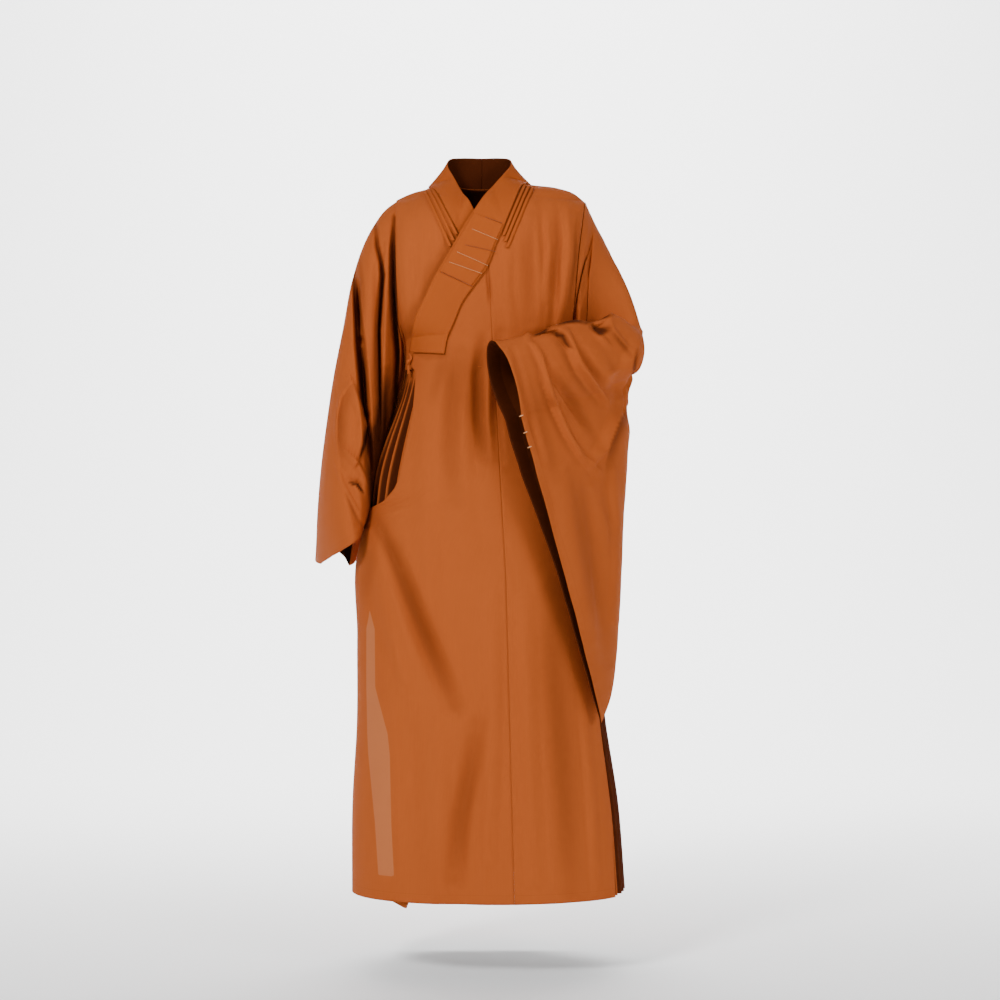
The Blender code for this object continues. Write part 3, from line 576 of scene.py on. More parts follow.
# Creases in picture points: reach to the viewer's left and right of the line, height in millimetres,
# and the points that the line runs through, downwards
FRONT_CREASES = (
    (7, 5, -11.0, ((557, 205), (559, 240), (556, 290), (552, 330))),
    (6, 5, 8.0, ((547, 212), (549, 250), (546, 300))),
    (6, 5, 10.0, ((568, 200), (570, 250), (564, 300), (560, 330))),
    (4, 3, -10.0, ((577, 210), (576, 260), (569, 305))),
    (12, 9, -5.0, ((531, 212), (528, 260), (532, 320))),
    (10, 8, 3.5, ((538, 240), (539, 290), (536, 325))),
    (3, 5, -4.5, ((487, 272), (489, 288), (490, 303))),
    (8, 8, 4.0, ((508, 240), (506, 290), (512, 325))),
    (10, 9, -9.0, ((483, 345), (479, 375), (480, 420), (484, 455))),
    (9, 9, -8.0, ((499, 335), (497, 375), (495, 420), (500, 460))),
    (8, 8, 6.0, ((490, 340), (488, 380), (490, 430))),
    (12, 14, -6.0, ((458, 352), (452, 400), (449, 450), (455, 500))),
    (12, 12, 5.0, ((467, 350), (464, 400), (466, 470))),
    (16, 16, 5.0, ((432, 380), (426, 450), (424, 520), (430, 600))),
    (3, 7, -7.0, ((370, 515), (380, 527), (388, 547), (397, 566))),
    (14, 17, -13.0, ((388, 548), (402, 583), (420, 628), (437, 668), (453, 706))),
    (12, 9, 6.0, ((374, 560), (384, 610), (398, 660), (410, 700))),
    (2.5, 5, -5.5, ((407, 497), (396, 501), (384, 504), (371, 507))),
    (3, 7, 4.5, ((405, 508), (392, 512), (378, 512))),
    (15, 10, -10.0, ((478, 725), (470, 775), (462, 822), (457, 880))),
    (12, 14, 7.0, ((492, 600), (492, 720), (486, 860))),
    (16, 16, 6.0, ((436, 720), (438, 800), (436, 890))),
    (16, 14, -6.0, ((408, 700), (412, 790), (415, 890))),
    (12, 14, 7.0, ((524, 600), (528, 720), (534, 880))),
    (18, 18, -10.0, ((552, 640), (561, 750), (570, 890))),
    (9, 7, 7.0, ((584, 700), (591, 780), (598, 890))),
    (6, 6, 4.0, ((430, 193), (418, 200), (404, 214))),
    (5, 6, -5.0, ((424, 201), (412, 204), (398, 218))),
    (8, 7, -4.5, ((418, 225), (414, 270), (413, 320))),
    (8, 8, 4.5, ((406, 215), (404, 260), (406, 310))),
)
LEFT_CREASES = (
    (4, 7, 11.5, ((531, 340), (540, 360), (544, 381), (552, 406), (565, 434), (580, 457), (597, 472))),
    (7, 8, -9.6, ((546, 360), (557, 380), (570, 400), (582, 420))),
    (4, 7, 12.0, ((554, 327), (565, 336), (570, 346), (577, 364), (585, 375), (597, 392), (607, 402))),
    (8, 8, -8.0, ((578, 345), (590, 366), (606, 388))),
    (12, 1.8, 12.8, ((626, 404), (619, 419), (610, 437), (605, 450), (594, 462))),
    (10, 1.8, 11.2, ((640, 336), (634, 351), (629, 360), (628, 375), (632, 390))),
    (2, 4, -9.6, ((636, 354), (634, 368), (633, 384))),
    (3, 3, -11.2, ((542, 331), (556, 333), (568, 347))),
    (5, 5, -14.4, ((593, 327), (600, 331), (607, 329))),
    (3, 6, 5.6, ((608, 330), (618, 340), (628, 351))),
    (4, 4, 4.8, ((588, 322), (594, 330), (600, 338), (610, 347))),
    (4, 4, 4.5, ((606, 376), (614, 372), (623, 367))),
    (6, 6, -4.8, ((512, 345), (520, 372), (532, 420), (544, 462))),
    (14, 16, 8.0, ((560, 476), (574, 560), (592, 640))),
    (12, 12, -7.2, ((588, 480), (600, 570), (606, 660))),
    (6, 8, 5.6, ((612, 470), (616, 540), (614, 620))),
    (5, 4, 9.6, ((600, 228), (604, 262), (603, 300))),
    (6, 6, -9.6, ((610, 258), (616, 288), (617, 316))),
    (4, 4, -9.6, ((592, 222), (588, 262), (580, 305))),
)
RIGHT_CREASES = (
    (4, 6, -25.0, ((354, 262), (355, 290), (356, 320), (357, 345), (360, 376), (362, 400), (365, 420))),
    (9, 7, 6.2, ((371, 232), (370, 270), (371, 300), (371, 345), (369, 410))),
    (5, 2.5, -21.2, (
        (376, 222), (378, 246), (382, 262), (383, 275), (381, 300), (379, 330), (380, 370), (380, 440),
    )),
    (3, 7, 7.5, ((386, 245), (386, 300), (385, 350), (384, 410))),
    (6, 3, -22.5, ((396, 217), (394, 250), (394, 290), (395, 320), (398, 350), (396, 400))),
    (3.5, 2.5, 6.0, ((350, 383), (341, 395), (337, 413), (336, 428), (337, 443), (339, 460))),
    (11, 1.6, 12.5, ((352, 380), (359, 401), (364, 414), (366, 425), (364, 438), (360, 455), (357, 464))),
    (8, 1.6, 10.0, ((345, 450), (357, 463), (366, 480), (368, 495))),
    (3, 4, 4.4, ((335, 462), (339, 478), (343, 490))),
    (2.5, 3, -7.5, ((363, 494), (357, 485), (348, 483))),
    (2.5, 2.5, 4.4, ((344, 490), (357, 517), (367, 530))),
    (5, 6, 3.8, ((326, 440), (322, 490), (320, 540))),
    (7, 6, 5.0, ((346, 300), (342, 340), (337, 370))),
    (6, 8, -12.5, ((374, 445), (373, 470), (373, 500))),
)
# Where folds shut the light out: the same columns, with an amount of darkness in place of the height
LEFT_SHADE = (
    (3.5, 3.5, 1.1, ((555, 325), (566, 322), (577, 321), (586, 323))),
    (9, 9, 0.22, ((522, 360), (534, 400), (546, 440), (556, 480))),
    (10, 12, 0.20, ((572, 470), (584, 540), (596, 620))),
    (7, 1.5, 0.42, ((552, 335), (562, 347), (568, 361), (575, 375), (584, 387), (596, 401))),
    (7, 1.5, 0.36, ((529, 347), (538, 367), (542, 387), (550, 411), (563, 438), (578, 461))),
    (6, 5, 1.0, ((554, 331), (562, 336), (568, 345))),
    (6, 2, 0.7, ((612, 331), (621, 342), (630, 353))),
    (3.2, 3.2, 1.1, ((553, 333), (562, 337), (569, 348))),
    (5.5, 5.5, 1.5, ((592, 327), (600, 332), (608, 329))),
    (3.2, 3.2, 1.3, ((533, 336), (540, 333), (549, 329))),
    (2.8, 2.8, 1.2, ((586, 323), (598, 319), (612, 315))),
    (2.5, 3, 0.8, ((637, 350), (634, 368), (632, 388))),
    (1.5, 11, 0.62, ((628, 406), (620, 422), (612, 442), (606, 464))),
    (8, 9, 0.34, ((556, 372), (566, 392), (578, 410), (588, 430))),
    (6, 7, 0.25, ((578, 345), (590, 366), (606, 388))),
    (4, 5, 0.35, ((612, 262), (617, 290), (618, 314))),
    (3, 3, 0.60, ((593, 222), (588, 262), (581, 305))),
    (4, 4, 0.20, ((512, 346), (520, 376), (532, 424))),
)
RIGHT_SHADE = (
    (6, 10, 1.3, ((375, 468), (375, 490), (374, 520))),
    (5, 8, 0.9, ((372, 430), (373, 450), (375, 470))),
    (1.5, 13, 0.40, ((351, 386), (343, 398), (339, 415), (338, 440), (341, 462))),
    (2.5, 2.5, 1.0, ((350, 482), (357, 484), (363, 492))),
    (3, 2, 0.4, ((346, 494), (357, 519), (366, 531))),
    (1.2, 4, 0.9, ((358, 392), (365, 412), (368, 426), (366, 438), (360, 455))),
    (4, 6, 1.5, ((353, 266), (355, 290), (357, 320), (358, 345), (360, 376), (362, 398), (365, 414))),
    (4, 2.5, 1.3, (
        (376, 224), (378, 246), (382, 262), (384, 275), (382, 300), (380, 330), (380, 370), (380, 430),
    )),
    (5, 4, 1.6, ((396, 219), (395, 250), (395, 290), (396, 330), (398, 360), (394, 420))),
    (11, 10, 1.5, ((380, 410), (377, 450), (375, 480), (374, 510))),
    (7, 8, 1.0, ((386, 370), (384, 400), (381, 440))),
    (4, 5, 0.35, ((377, 300), (375, 350), (376, 400))),
    (4, 4, 0.30, ((359, 252), (362, 280), (364, 320))),
    (2, 2, 1.0, ((363, 493), (357, 485), (349, 483))),
    (4, 2, 1.0, ((367, 425), (364, 445), (360, 458))),
)
FRONT_SHADE = (
    (22, 12, 0.36, ((524, 490), (547, 555), (567, 620), (590, 700))),
    (10, 12, 0.22, ((496, 372), (505, 430), (514, 480))),
    (8, 16, 0.55, ((366, 514), (376, 524), (388, 548), (402, 583), (420, 628), (440, 676), (454, 708))),
    (14, 14, 0.34, ((478, 725), (470, 775), (462, 822), (457, 880))),
    (16, 24, 0.38, ((548, 590), (556, 680), (563, 760), (572, 895))),
    (11, 9, 0.48, ((482, 338), (479, 375), (480, 420), (486, 460))),
    (8, 8, 0.30, ((500, 330), (497, 375), (497, 430), (504, 470))),
    (14, 16, 0.26, ((458, 352), (452, 400), (449, 450), (455, 500))),
    (8, 10, 0.20, ((447, 340), (441, 366), (432, 400))),
    (6, 6, 0.34, ((557, 212), (558, 245), (555, 300))),
    (4, 4, 0.50, ((578, 214), (575, 260), (569, 308))),
    (9, 8, 0.24, ((531, 215), (528, 260), (532, 320))),
    (3, 4, 0.22, ((487, 270), (489, 288), (491, 303))),
    (4, 8, 0.22, ((413, 352), (428, 358), (445, 356))),
    (5, 4, 0.25, ((426, 200), (412, 204), (398, 219))),
    (5, 5, 0.16, ((419, 225), (414, 270), (413, 318))),
    (10, 10, 0.22, ((372, 545), (368, 580), (366, 600))),
)
# Rise of the raised forearm's top edge: picture x and millimetres
TOP_RISE = (
    (492, -4.0), (500, -8.0), (512, -9.5), (522, -9.0), (528, -5.0), (532, -11.0), (540, -9.0), (545, -5.0),
    (555, 1.5), (565, 6.0), (576, 9.0), (585, 5.5), (591, 2.5), (600, 5.0), (608, 11.0), (611, 16.0),
    (615, 10.0), (622, 6.0), (634, 2.0),
)

# Creases of the back: the same columns in metres, with points in x and z
BACK_CREASES = (
    (0.030, 0.030, -0.0050, ((-0.060, -0.080), (-0.090, -0.240), (-0.100, -0.420))),
    (0.026, 0.026, 0.0050, ((0.055, -0.060), (0.075, -0.220), (0.080, -0.380))),
    (0.024, 0.024, -0.0050, ((0.110, -0.050), (0.120, -0.200), (0.110, -0.340))),
    (0.022, 0.022, 0.0045, ((-0.115, -0.060), (-0.125, -0.190), (-0.128, -0.300))),
    (0.040, 0.040, -0.0060, ((0.030, -0.420), (0.040, -0.700), (0.050, -1.020))),
    (0.036, 0.036, 0.0060, ((-0.080, -0.500), (-0.100, -0.780), (-0.120, -1.100))),
    (0.040, 0.040, -0.0055, ((-0.020, -0.600), (-0.024, -0.880), (-0.020, -1.180))),
    (0.034, 0.034, 0.0050, ((0.130, -0.520), (0.150, -0.800), (0.165, -1.120))),
)


def column(columns, rows, name):
    """One named column of a table, as an array."""
    place = columns.index(name)
    return np.array([row[place] for row in rows], float)


def smooth_between(known, values, at):
    """The value at a place between known ones, on a smooth curve through them."""
    slopes = np.gradient(values, known)
    at = np.clip(at, known[0], known[-1])
    index = np.clip(np.searchsorted(known, at, side="right") - 1, 0, len(known) - 2)
    span = known[index + 1] - known[index]
    t = (at - known[index]) / span
    start = (1 + 2 * t) * (1 - t) ** 2 * values[index] + t * (1 - t) ** 2 * span * slopes[index]
    end = t * t * (3 - 2 * t) * values[index + 1] + t * t * (t - 1) * span * slopes[index + 1]
    return start + end


def ease(share):
    """A soft step from 0 to 1."""
    share = np.clip(share, 0.0, 1.0)
    return share * share * (3 - 2 * share)


def bell(distance):
    """A smooth hump, 1 at distance 0 and 0 from distance 1 on."""
    return (1 - np.clip(distance, 0.0, 1.0) ** 2) ** 2


def unit(vectors):
    """Vectors of length 1."""
    length = np.linalg.norm(vectors, axis=-1, keepdims=True)
    return vectors / np.maximum(length, 1e-12)


def edge_at(rows, z):
    """An edge table's value at a height."""
    return np.interp(z, column(EDGE_COLUMNS, rows, "z"), column(EDGE_COLUMNS, rows, "x"))


def drop_of(run):
    """How far below the shoulder line the cloth is, after a run along it."""
    turn = np.clip(run / SHOULDER_TURN, 0.0, 1.0) * SIDE
    over_shoulder = SHOULDER_DROP * (1 - np.cos(turn))
    return np.where(run < SHOULDER_TURN, over_shoulder, SHOULDER_DROP + run - SHOULDER_TURN)


def run_of(drop):
    """The run along the cloth that ends at a drop."""
    turn = np.arccos(np.clip(1 - drop / SHOULDER_DROP, 0.0, 1.0))
    return np.where(drop < SHOULDER_DROP, turn / SIDE * SHOULDER_TURN, SHOULDER_TURN + drop - SHOULDER_DROP)


def section(drop, name):
    """A body size at a drop."""
    known = column(BODY_COLUMNS, BODY_SECTIONS, "drop")
    return smooth_between(known, column(BODY_COLUMNS, BODY_SECTIONS, name), drop)


def crest(x):
    """Height of the shoulder line."""
    known = column(CREST_COLUMNS, CREST_LINE, "x")
    return smooth_between(known, column(CREST_COLUMNS, CREST_LINE, "z"), x)


def level(x, drop):
    """Height of the cloth at a drop: the rows follow the shoulders and are level from the waist."""
    return crest(x) * (1 - ease(drop / CREST_FADE)) - drop


def armhole_depth(z, side, reach):
    """How far the armhole's edge lies in front of or behind the shoulder line."""
    top = crest(section(0.0, "centre") + side * section(0.0, "half_width"))
    middle = (top + ARM_BOTTOM) / 2
    half = (top - ARM_BOTTOM) / 2
    share = np.clip((z - middle) / half, -1.0, 1.0)
    return reach * np.sqrt(1 - share**2)


def nearest_share(dx, dy, step_x, step_y):
    """The share of a step at which it comes nearest to a place, and how far away it is there."""
    share = np.clip((dx * step_x + dy * step_y) / (step_x**2 + step_y**2), 0.0, 1.0)
    return share, np.hypot(dx - share * step_x, dy - share * step_y)


def relief(x, z, folds):
    """Height of the soft folds at a place. A fold that reaches the hem doesn't fade there."""
    total = np.zeros(np.broadcast(x, z).shape)
    for x0, z0, x1, z1, half_width, height in folds:
        share, away = nearest_share(x - x0, z - z0, x1 - x0, z1 - z0)
        shown = FOLD_TO_HEM if z1 <= -HEM_DROP else FOLD_WHOLE
        fade = np.sin(np.pi * np.clip(FOLD_START + share * shown, 0.0, 1.0))
        total = total + height * fade * bell(away / half_width)
    return total


def body_base(angle, run):
    """A point of the body's surface. Angle 0 is the front, + the wearer's left, and pi the back."""
    drop = drop_of(run)
    sine = np.sin(angle)
    cosine = np.cos(angle)
    x = section(drop, "centre") + section(drop, "half_width") * np.sign(sine) * np.abs(sine) ** BOXINESS
    z = level(x, drop)
    rounding = np.sin(np.clip(run / SHOULDER_TURN, 0.0, 1.0) * SIDE)
    is_front = cosine >= 0
    reach = np.where(is_front, section(drop, "front"), section(drop, "back")) * rounding
    arm_reach = np.where(is_front, ARM_FRONT, ARM_BACK)
    arm = np.minimum(armhole_depth(z, np.where(sine >= 0, 1.0, -1.0), arm_reach), reach)
    depth = arm + (reach - arm) * np.abs(cosine) ** BOXINESS
    pulled = bell(np.abs(z - PULL_Z) / PULL_REACH) * np.clip(-sine, 0.0, 1.0) ** AT_SIDE
    x = x - PULL_OUT * pulled
    front_folds = relief(x, z, FRONT_FOLDS) + creases_at(*seen_at(x, -depth, z), FRONT_CREASES) / 1000
    back_folds = relief(x, z, BACK_FOLDS) + creases_at(x, z, BACK_CREASES, BACK_FADE)
    rough = BODY_ROUGH * unevenness(x, z, BODY_SEED, BODY_ROUGH_SIZE)
    folds = np.where(is_front, front_folds, back_folds) + rough
    corner = SHOULDER_CORNER * (1 - rounding) * np.abs(sine) ** AT_SIDE
    depth = depth + folds * np.abs(cosine) * rounding + corner
    return np.stack([x, np.where(is_front, -depth, depth), z], axis=-1)


def body(angle, run, lift=0.0):
    """A point of the body, moved out of the surface by a lift."""
    angle, run, lift = np.broadcast_arrays(angle, run, lift)
    across = body_base(angle + SLOPE_STEP, run) - body_base(angle - SLOPE_STEP, run)
    low = np.maximum(run - SLOPE_STEP, 0.0)
    down = body_base(angle, run + SLOPE_STEP) - body_base(angle, low)
    outward = unit(np.cross(down, across))
    return body_base(angle, run) + outward * lift[..., None]


def angle_of(x, drop):
    """The body angle of an x on the front, at a drop."""
    share = (x - section(drop, "centre")) / section(drop, "half_width")
    sine = np.sign(share) * np.minimum(np.abs(share), 1.0) ** (1 / BOXINESS)
    return np.clip(np.arcsin(sine), -SIDE + SEAM_ANGLE, SIDE - SEAM_ANGLE)


def front_at(x, z, lift):
    """The point of the front that has this x and z, moved out by a lift."""
    drop = np.maximum(crest(x) - z, 0.0)
    for _ in range(8):
        drop = np.maximum(crest(x) * (1 - ease(drop / CREST_FADE)) - z, 0.0)
    return body(angle_of(x, drop), run_of(drop), lift)


def angle_on_edge(rows, drop):
    """The angle at which a row of the front meets an edge table."""
    x = edge_at(rows, -drop)
    for _ in range(6):
        x = edge_at(rows, level(x, drop))
    return angle_of(x, drop)


def grid_normals(grid, closed):
    """A normal for each point of a grid; closed grids go round in their columns."""
    if closed:
        across = np.roll(grid, -1, axis=1) - np.roll(grid, 1, axis=1)
    else:
        across = np.gradient(grid, axis=1)
    down = np.gradient(grid, axis=0)
    return unit(np.cross(down, across))


def inner_inset(angle, x, z):
    """How far inside the outer front the inner one lies: flush at the side, then under the collar."""
    inner_z = column(BAND_COLUMNS, LEFT_BAND[CHEST_ROW:], "inner_z")
    inner_x = column(BAND_COLUMNS, LEFT_BAND[CHEST_ROW:], "inner_x")
    over_edge = np.interp(z, inner_z[::-1], inner_x[::-1])
    under = ease((x - over_edge + INSET_START) / (INSET_START - INSET_FULL))
    held_at_side = ease((angle + INSET_FROM_ANGLE) / INSET_OVER_ANGLE)
    return INNER_INSET * np.where(z < PLEAT_TOP, 1.0, under * held_at_side)


def band_lift(x, z, under):
    """How far a collar band's middle lies from the body's surface."""
    if not under:
        return ON_PANEL
    return ON_INNER - inner_inset(angle_of(x, np.maximum(-z, 0.0)), x, z)


def band_grid(rows, columns, steps, under):
    """A collar band between its two edges; under says if it lies on the inner front."""
    known = np.arange(len(rows), dtype=float)
    at = np.linspace(0.0, len(rows) - 1.0, steps)
    edges = []
    for edge in ("outer", "inner"):
        x = column(BAND_COLUMNS, rows, edge + "_x")
        z = column(BAND_COLUMNS, rows, edge + "_z")
        given = [row[BAND_COLUMNS.index(edge + "_y")] for row in rows]
        on_chest = front_at(x, z, band_lift(x, z, under))
        points = np.stack([x, on_chest[:, 1], z], axis=-1)
        for place, depth in enumerate(given):
            if depth is not None:
                points[place, 1] = depth
        edges.append(np.stack([smooth_between(known, points[:, axis], at) for axis in range(3)], axis=-1))
    share = np.linspace(0.0, 1.0, columns)[None, :, None]
    grid = edges[0][:, None, :] * (1 - share) + edges[1][:, None, :] * share
    on_chest = front_at(grid[..., 0], grid[..., 2], band_lift(grid[..., 0], grid[..., 2], under))
    on_panel = {}
    for edge in ("outer", "inner"):
        chest = [0.0 if row[BAND_COLUMNS.index(edge + "_y")] is not None else 1.0 for row in rows]
        on_panel[edge] = ease(np.interp(at, known, chest))[:, None, None]
    amount = np.maximum(on_panel["outer"] * (1 - share), on_panel["inner"])
    return grid * (1 - amount) + on_chest * amount


def ring_values(rows, at):
    """A sleeve table's sizes at ring numbers, as a dictionary of arrays."""
    known = np.arange(len(rows), dtype=float)
    return {name: smooth_between(known, column(RING_COLUMNS, rows, name), at) for name in RING_COLUMNS}


def sleeve_relief(at, down, chord, folds):
    """Height of a sleeve layer's folds at a ring number and share down the ring."""
    total = np.zeros(np.broadcast(at, down).shape)
    for ring0, down0, ring1, down1, half_width, height in folds:
        step_ring = (ring1 - ring0) * RING_SPACING
        step_down = (down1 - down0) * chord
        share, away = nearest_share((at - ring0) * RING_SPACING, (down - down0) * chord, step_ring, step_down)
        fade = np.sin(np.pi * np.clip(SLEEVE_FOLD_START + SLEEVE_FOLD_WHOLE * share, 0.0, 1.0))
        total = total + height * fade * bell(away / half_width)
    return total


def side_x(z, side):
    """The body's side edge at a height."""
    drops = np.linspace(0.0, 0.45, 90)
    x = section(drops, "centre") + side * section(drops, "half_width")
    heights = level(x, drops)
    return np.interp(z, heights[::-1], x[::-1])


def seen_at(x, y, z):
    """Picture points of places, as the camera sees them."""
    scale = PIXELS_A_METRE / (CAMERA_AWAY + y)
    return 500 + (x - CAMERA_X) * scale, 500 - (z - CAMERA_Z) * scale


def seen_grid(grid):
    """Picture points of a grid, as the camera sees them."""
    return seen_at(grid[..., 0], grid[..., 1], grid[..., 2])


def creases_at(across, down, creases, power=SEEN_FADE):
    """Sum of a table's creases at places, each steeper on one side where its reaches differ."""
    total = np.zeros(np.broadcast(across, down).shape)
    for left_reach, right_reach, height, points in creases:
        points = np.array(points, float)
        steps = points[1:] - points[:-1]
        lengths = np.hypot(steps[:, 0], steps[:, 1])
        started = np.concatenate([[0.0], np.cumsum(lengths)])
        nearest = np.full(total.shape, np.inf)
        place = np.zeros(total.shape)
        side = np.zeros(total.shape)
        for point, step, length, start in zip(points, steps, lengths, started):
            dx = across - point[0]
            dy = down - point[1]
            share, away = nearest_share(dx, dy, *step)
            closer = away < nearest
            side = np.where(closer, step[0] * dy - step[1] * dx, side)
            place = np.where(closer, start + share * length, place)
            nearest = np.minimum(nearest, away)
        reach = np.where(side < 0, right_reach, left_reach)
        fade = np.sin(np.pi * np.clip(place / started[-1], CREASE_END, 1 - CREASE_END)) ** power
        total = total + height * fade * bell(nearest / reach)
    return total


def unevenness(across, along, seed, size):
    """Slow random rises and falls of the cloth, about 1 high, over distances of size."""
    draw = np.random.default_rng(seed)
    total = np.zeros(np.broadcast(across, along).shape)
    for _ in range(ROUGH_WAVES):
        heading = draw.uniform(-ROUGH_TURN, ROUGH_TURN)
        pitch = 2 * np.pi / (size * draw.uniform(*ROUGH_SIZES))
        phase = draw.uniform(0.0, 2 * np.pi)
        ahead = across * np.cos(heading) + along * ROUGH_LONG * np.sin(heading)
        total = total + np.sin(pitch * ahead + phase)
    return total / ROUGH_WAVES


def store(mesh, name, values):
    """A number on each point of a mesh, for its material."""
    layer = mesh.attributes.new(name, "FLOAT", "POINT")
    layer.data.foreach_set("value", values.astype(np.float32))


def linked(name, data):
    """A new object in the scene."""
    made = bpy.data.objects.new(name, data)
    bpy.context.scene.collection.objects.link(made)
    return made


def shell_faces(rows, columns, closed):
    """The faces of a shell: its outer side, its inner side and the rims between them."""
    other = rows * columns
    place = np.arange(other).reshape(rows, columns)
    around = columns if closed else columns - 1
    here = place[:, :around]
    after = np.roll(place, -1, axis=1)[:, :around]
    front = np.stack([here[:-1], after[:-1], after[1:], here[1:]], axis=-1).reshape(-1, 4)
    edges = [(after[0], here[0]), (here[-1], after[-1])]
    if not closed:
        edges += [(place[:-1, 0], place[1:, 0]), (place[1:, -1], place[:-1, -1])]
    rims = [np.stack([first, second, second + other, first + other], axis=-1) for first, second in edges]
    return np.concatenate([front, front[:, ::-1] + other] + rims)


def make_piece(name, grid, wall, material, nodes, closed=False, inside=0.0, dark=0.0):
    """A shell of the grid with a wall, riding on the robe's body and standing for its CAD nodes."""
    rows, columns = grid.shape[:2]
    normals = grid_normals(grid, closed)
    away = grid - (grid.mean(axis=1, keepdims=True) if closed else ROBE_MIDDLE)
    if (normals * away * (1.0, 1.0, 0.0)).sum() < 0:
        normals = -normals
    outer = (grid + normals * wall / 2).reshape(-1, 3)
    inner = (grid - normals * wall / 2).reshape(-1, 3)
    points = np.concatenate([outer, inner])
    faces = shell_faces(rows, columns, closed)
    corner, second, third = (points[faces[:, side]] for side in range(3))
    if np.einsum("ij,ij->i", corner, np.cross(second, third)).sum() < 0:
        faces = faces[:, ::-1]
    mesh = bpy.data.meshes.new(name)
    mesh.from_pydata(points.tolist(), [], faces.tolist())
    mesh.shade_smooth()
    lengths = np.linalg.norm(np.diff(grid, axis=0), axis=-1)
    widths = np.linalg.norm(np.diff(grid, axis=1), axis=-1)
    down = np.concatenate([np.zeros((1, columns)), np.cumsum(lengths, axis=0)])
    wide = np.concatenate([np.zeros((rows, 1)), np.cumsum(widths, axis=1)], axis=1)
    coordinates = np.tile(np.stack([wide, down], axis=-1).reshape(-1, 2), (2, 1))
    layer = mesh.uv_layers.new(name="cloth")
    corners = np.empty(len(mesh.loops), dtype=np.int64)
    mesh.loops.foreach_get("vertex_index", corners)
    layer.uv.foreach_set("vector", coordinates[corners].astype(np.float32).ravel())
    store(mesh, "to_hem", np.tile((down[-1:] - down).reshape(-1), 2))
    # Painted shade: dark on the outer side, and the greater of dark and inside on the inner side
    outer_shade = np.clip(np.broadcast_to(dark, (rows, columns)), 0.0, 1.0).reshape(-1)
    store(mesh, "painted_shade", np.concatenate([outer_shade, np.maximum(outer_shade, inside)]))
    mesh.materials.append(material)
    made = linked(name, mesh)
    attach(made, "root")
    if nodes:
        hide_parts(*nodes)
    return made


def fine_runs(count):
    """Runs down a panel, evenly."""
    return np.linspace(FIRST_RUN, float(run_of(np.array(HEM_DROP))), count)


def between(start, end, columns):
    """Angles across a row, evenly from one edge to the other."""
    share = np.linspace(0.0, 1.0, columns)
    return start[:, None] + (end - start)[:, None] * share[None, :]


def front_shade(grid):
    """Painted shade in the folds of a front panel."""
    return creases_at(*seen_grid(grid), FRONT_SHADE)


def make_fronts(cloth):
    """The outer front in two widths: the left one, and the one that laps over to the right side."""
    rows, columns = FRONT_FINE
    runs = fine_runs(rows)
    drops = drop_of(runs)
    lap = angle_on_edge(LAP_EDGE, drops)
    seam = angle_on_edge(WIDTH_SEAM, drops)
    left = edge_at(LEFT_EDGE_ANGLE, -drops)
    first = int(np.argmax(seam > lap + LEAST_LAP))
    seam = np.maximum(seam, lap + LEAST_LAP)
    half_gap = SEAM_OPEN / 2 / section(drops, "half_width")
    start = np.where(np.arange(len(runs)) < first, lap, seam + half_gap)
    grid = body(between(start, left, columns), runs[:, None])
    make_piece("outer_front_left", grid, WALL, cloth, ["front_left"], inside=1.0, dark=front_shade(grid))
    part = slice(first, None)
    angles = between(lap[part], seam[part] - half_gap[part], OVERLAP_FINE[1])
    grid = body(angles, runs[part, None])
    dark = front_shade(grid)
    lapping = make_piece("outer_front_lap", grid, WALL, cloth, ["front_left_overlap"], inside=1.0, dark=dark)
    add_pale_band(lapping)


def add_pale_band(piece):
    """How far each point lies inside the band of painted light down the side of the skirt, where light shines
    through a single layer of cloth.
    """
    points = np.empty(len(piece.data.vertices) * 3)
    piece.data.vertices.foreach_get("co", points)
    x, _, z = points.reshape(-1, 3).T
    band_z, band_left, band_right = np.array(PALE_BAND).T
    left = np.interp(z, band_z, band_left)
    right = np.interp(z, band_z, band_right)
    inside = np.minimum(x - left, right - x)
    inside = np.minimum(inside, np.minimum(z - band_z[0], band_z[-1] - z))
    store(piece.data, "pale", inside)


def make_inner_front(cloth):
    """The inner front: flush at the right chest, then behind the lapped-over front to the hem."""
    runs = fine_runs(INNER_FINE[0])
    near = np.abs(drop_of(runs) + PLEAT_TOP) < 2 * CORNER_STEP
    corner = np.array([-PLEAT_TOP - 2 * CORNER_STEP, -PLEAT_TOP - CORNER_STEP])
    runs = np.sort(np.concatenate([runs[~near], run_of(corner)]))
    drops = drop_of(runs)
    at_side = drops < -PLEAT_TOP - 1.5 * CORNER_STEP
    start = np.where(at_side, -SIDE + SEAM_ANGLE, -SKIRT_ANGLE)
    end = angle_on_edge(INNER_EDGE, drops)
    angles = between(start, end, INNER_FINE[1])
    plain = body_base(angles, runs[:, None])
    grid = body(angles, runs[:, None], -inner_inset(angles, plain[..., 0], plain[..., 2]))
    toe = ease((drops - HEM_DROP + TOE_HEIGHT) / TOE_HEIGHT)[:, None]
    from_edge = grid[..., 0] - grid[-1, 0, 0]
    slant = np.clip(from_edge / TOE_WIDTH, 0.0, 1.0) * (1 - ease((from_edge - TOE_WIDTH) / TOE_RETURN))
    grid[..., 2] -= INNER_TOE * toe * slant
    make_piece("inner_front", grid, WALL, cloth, ["front_right"], inside=1.0)


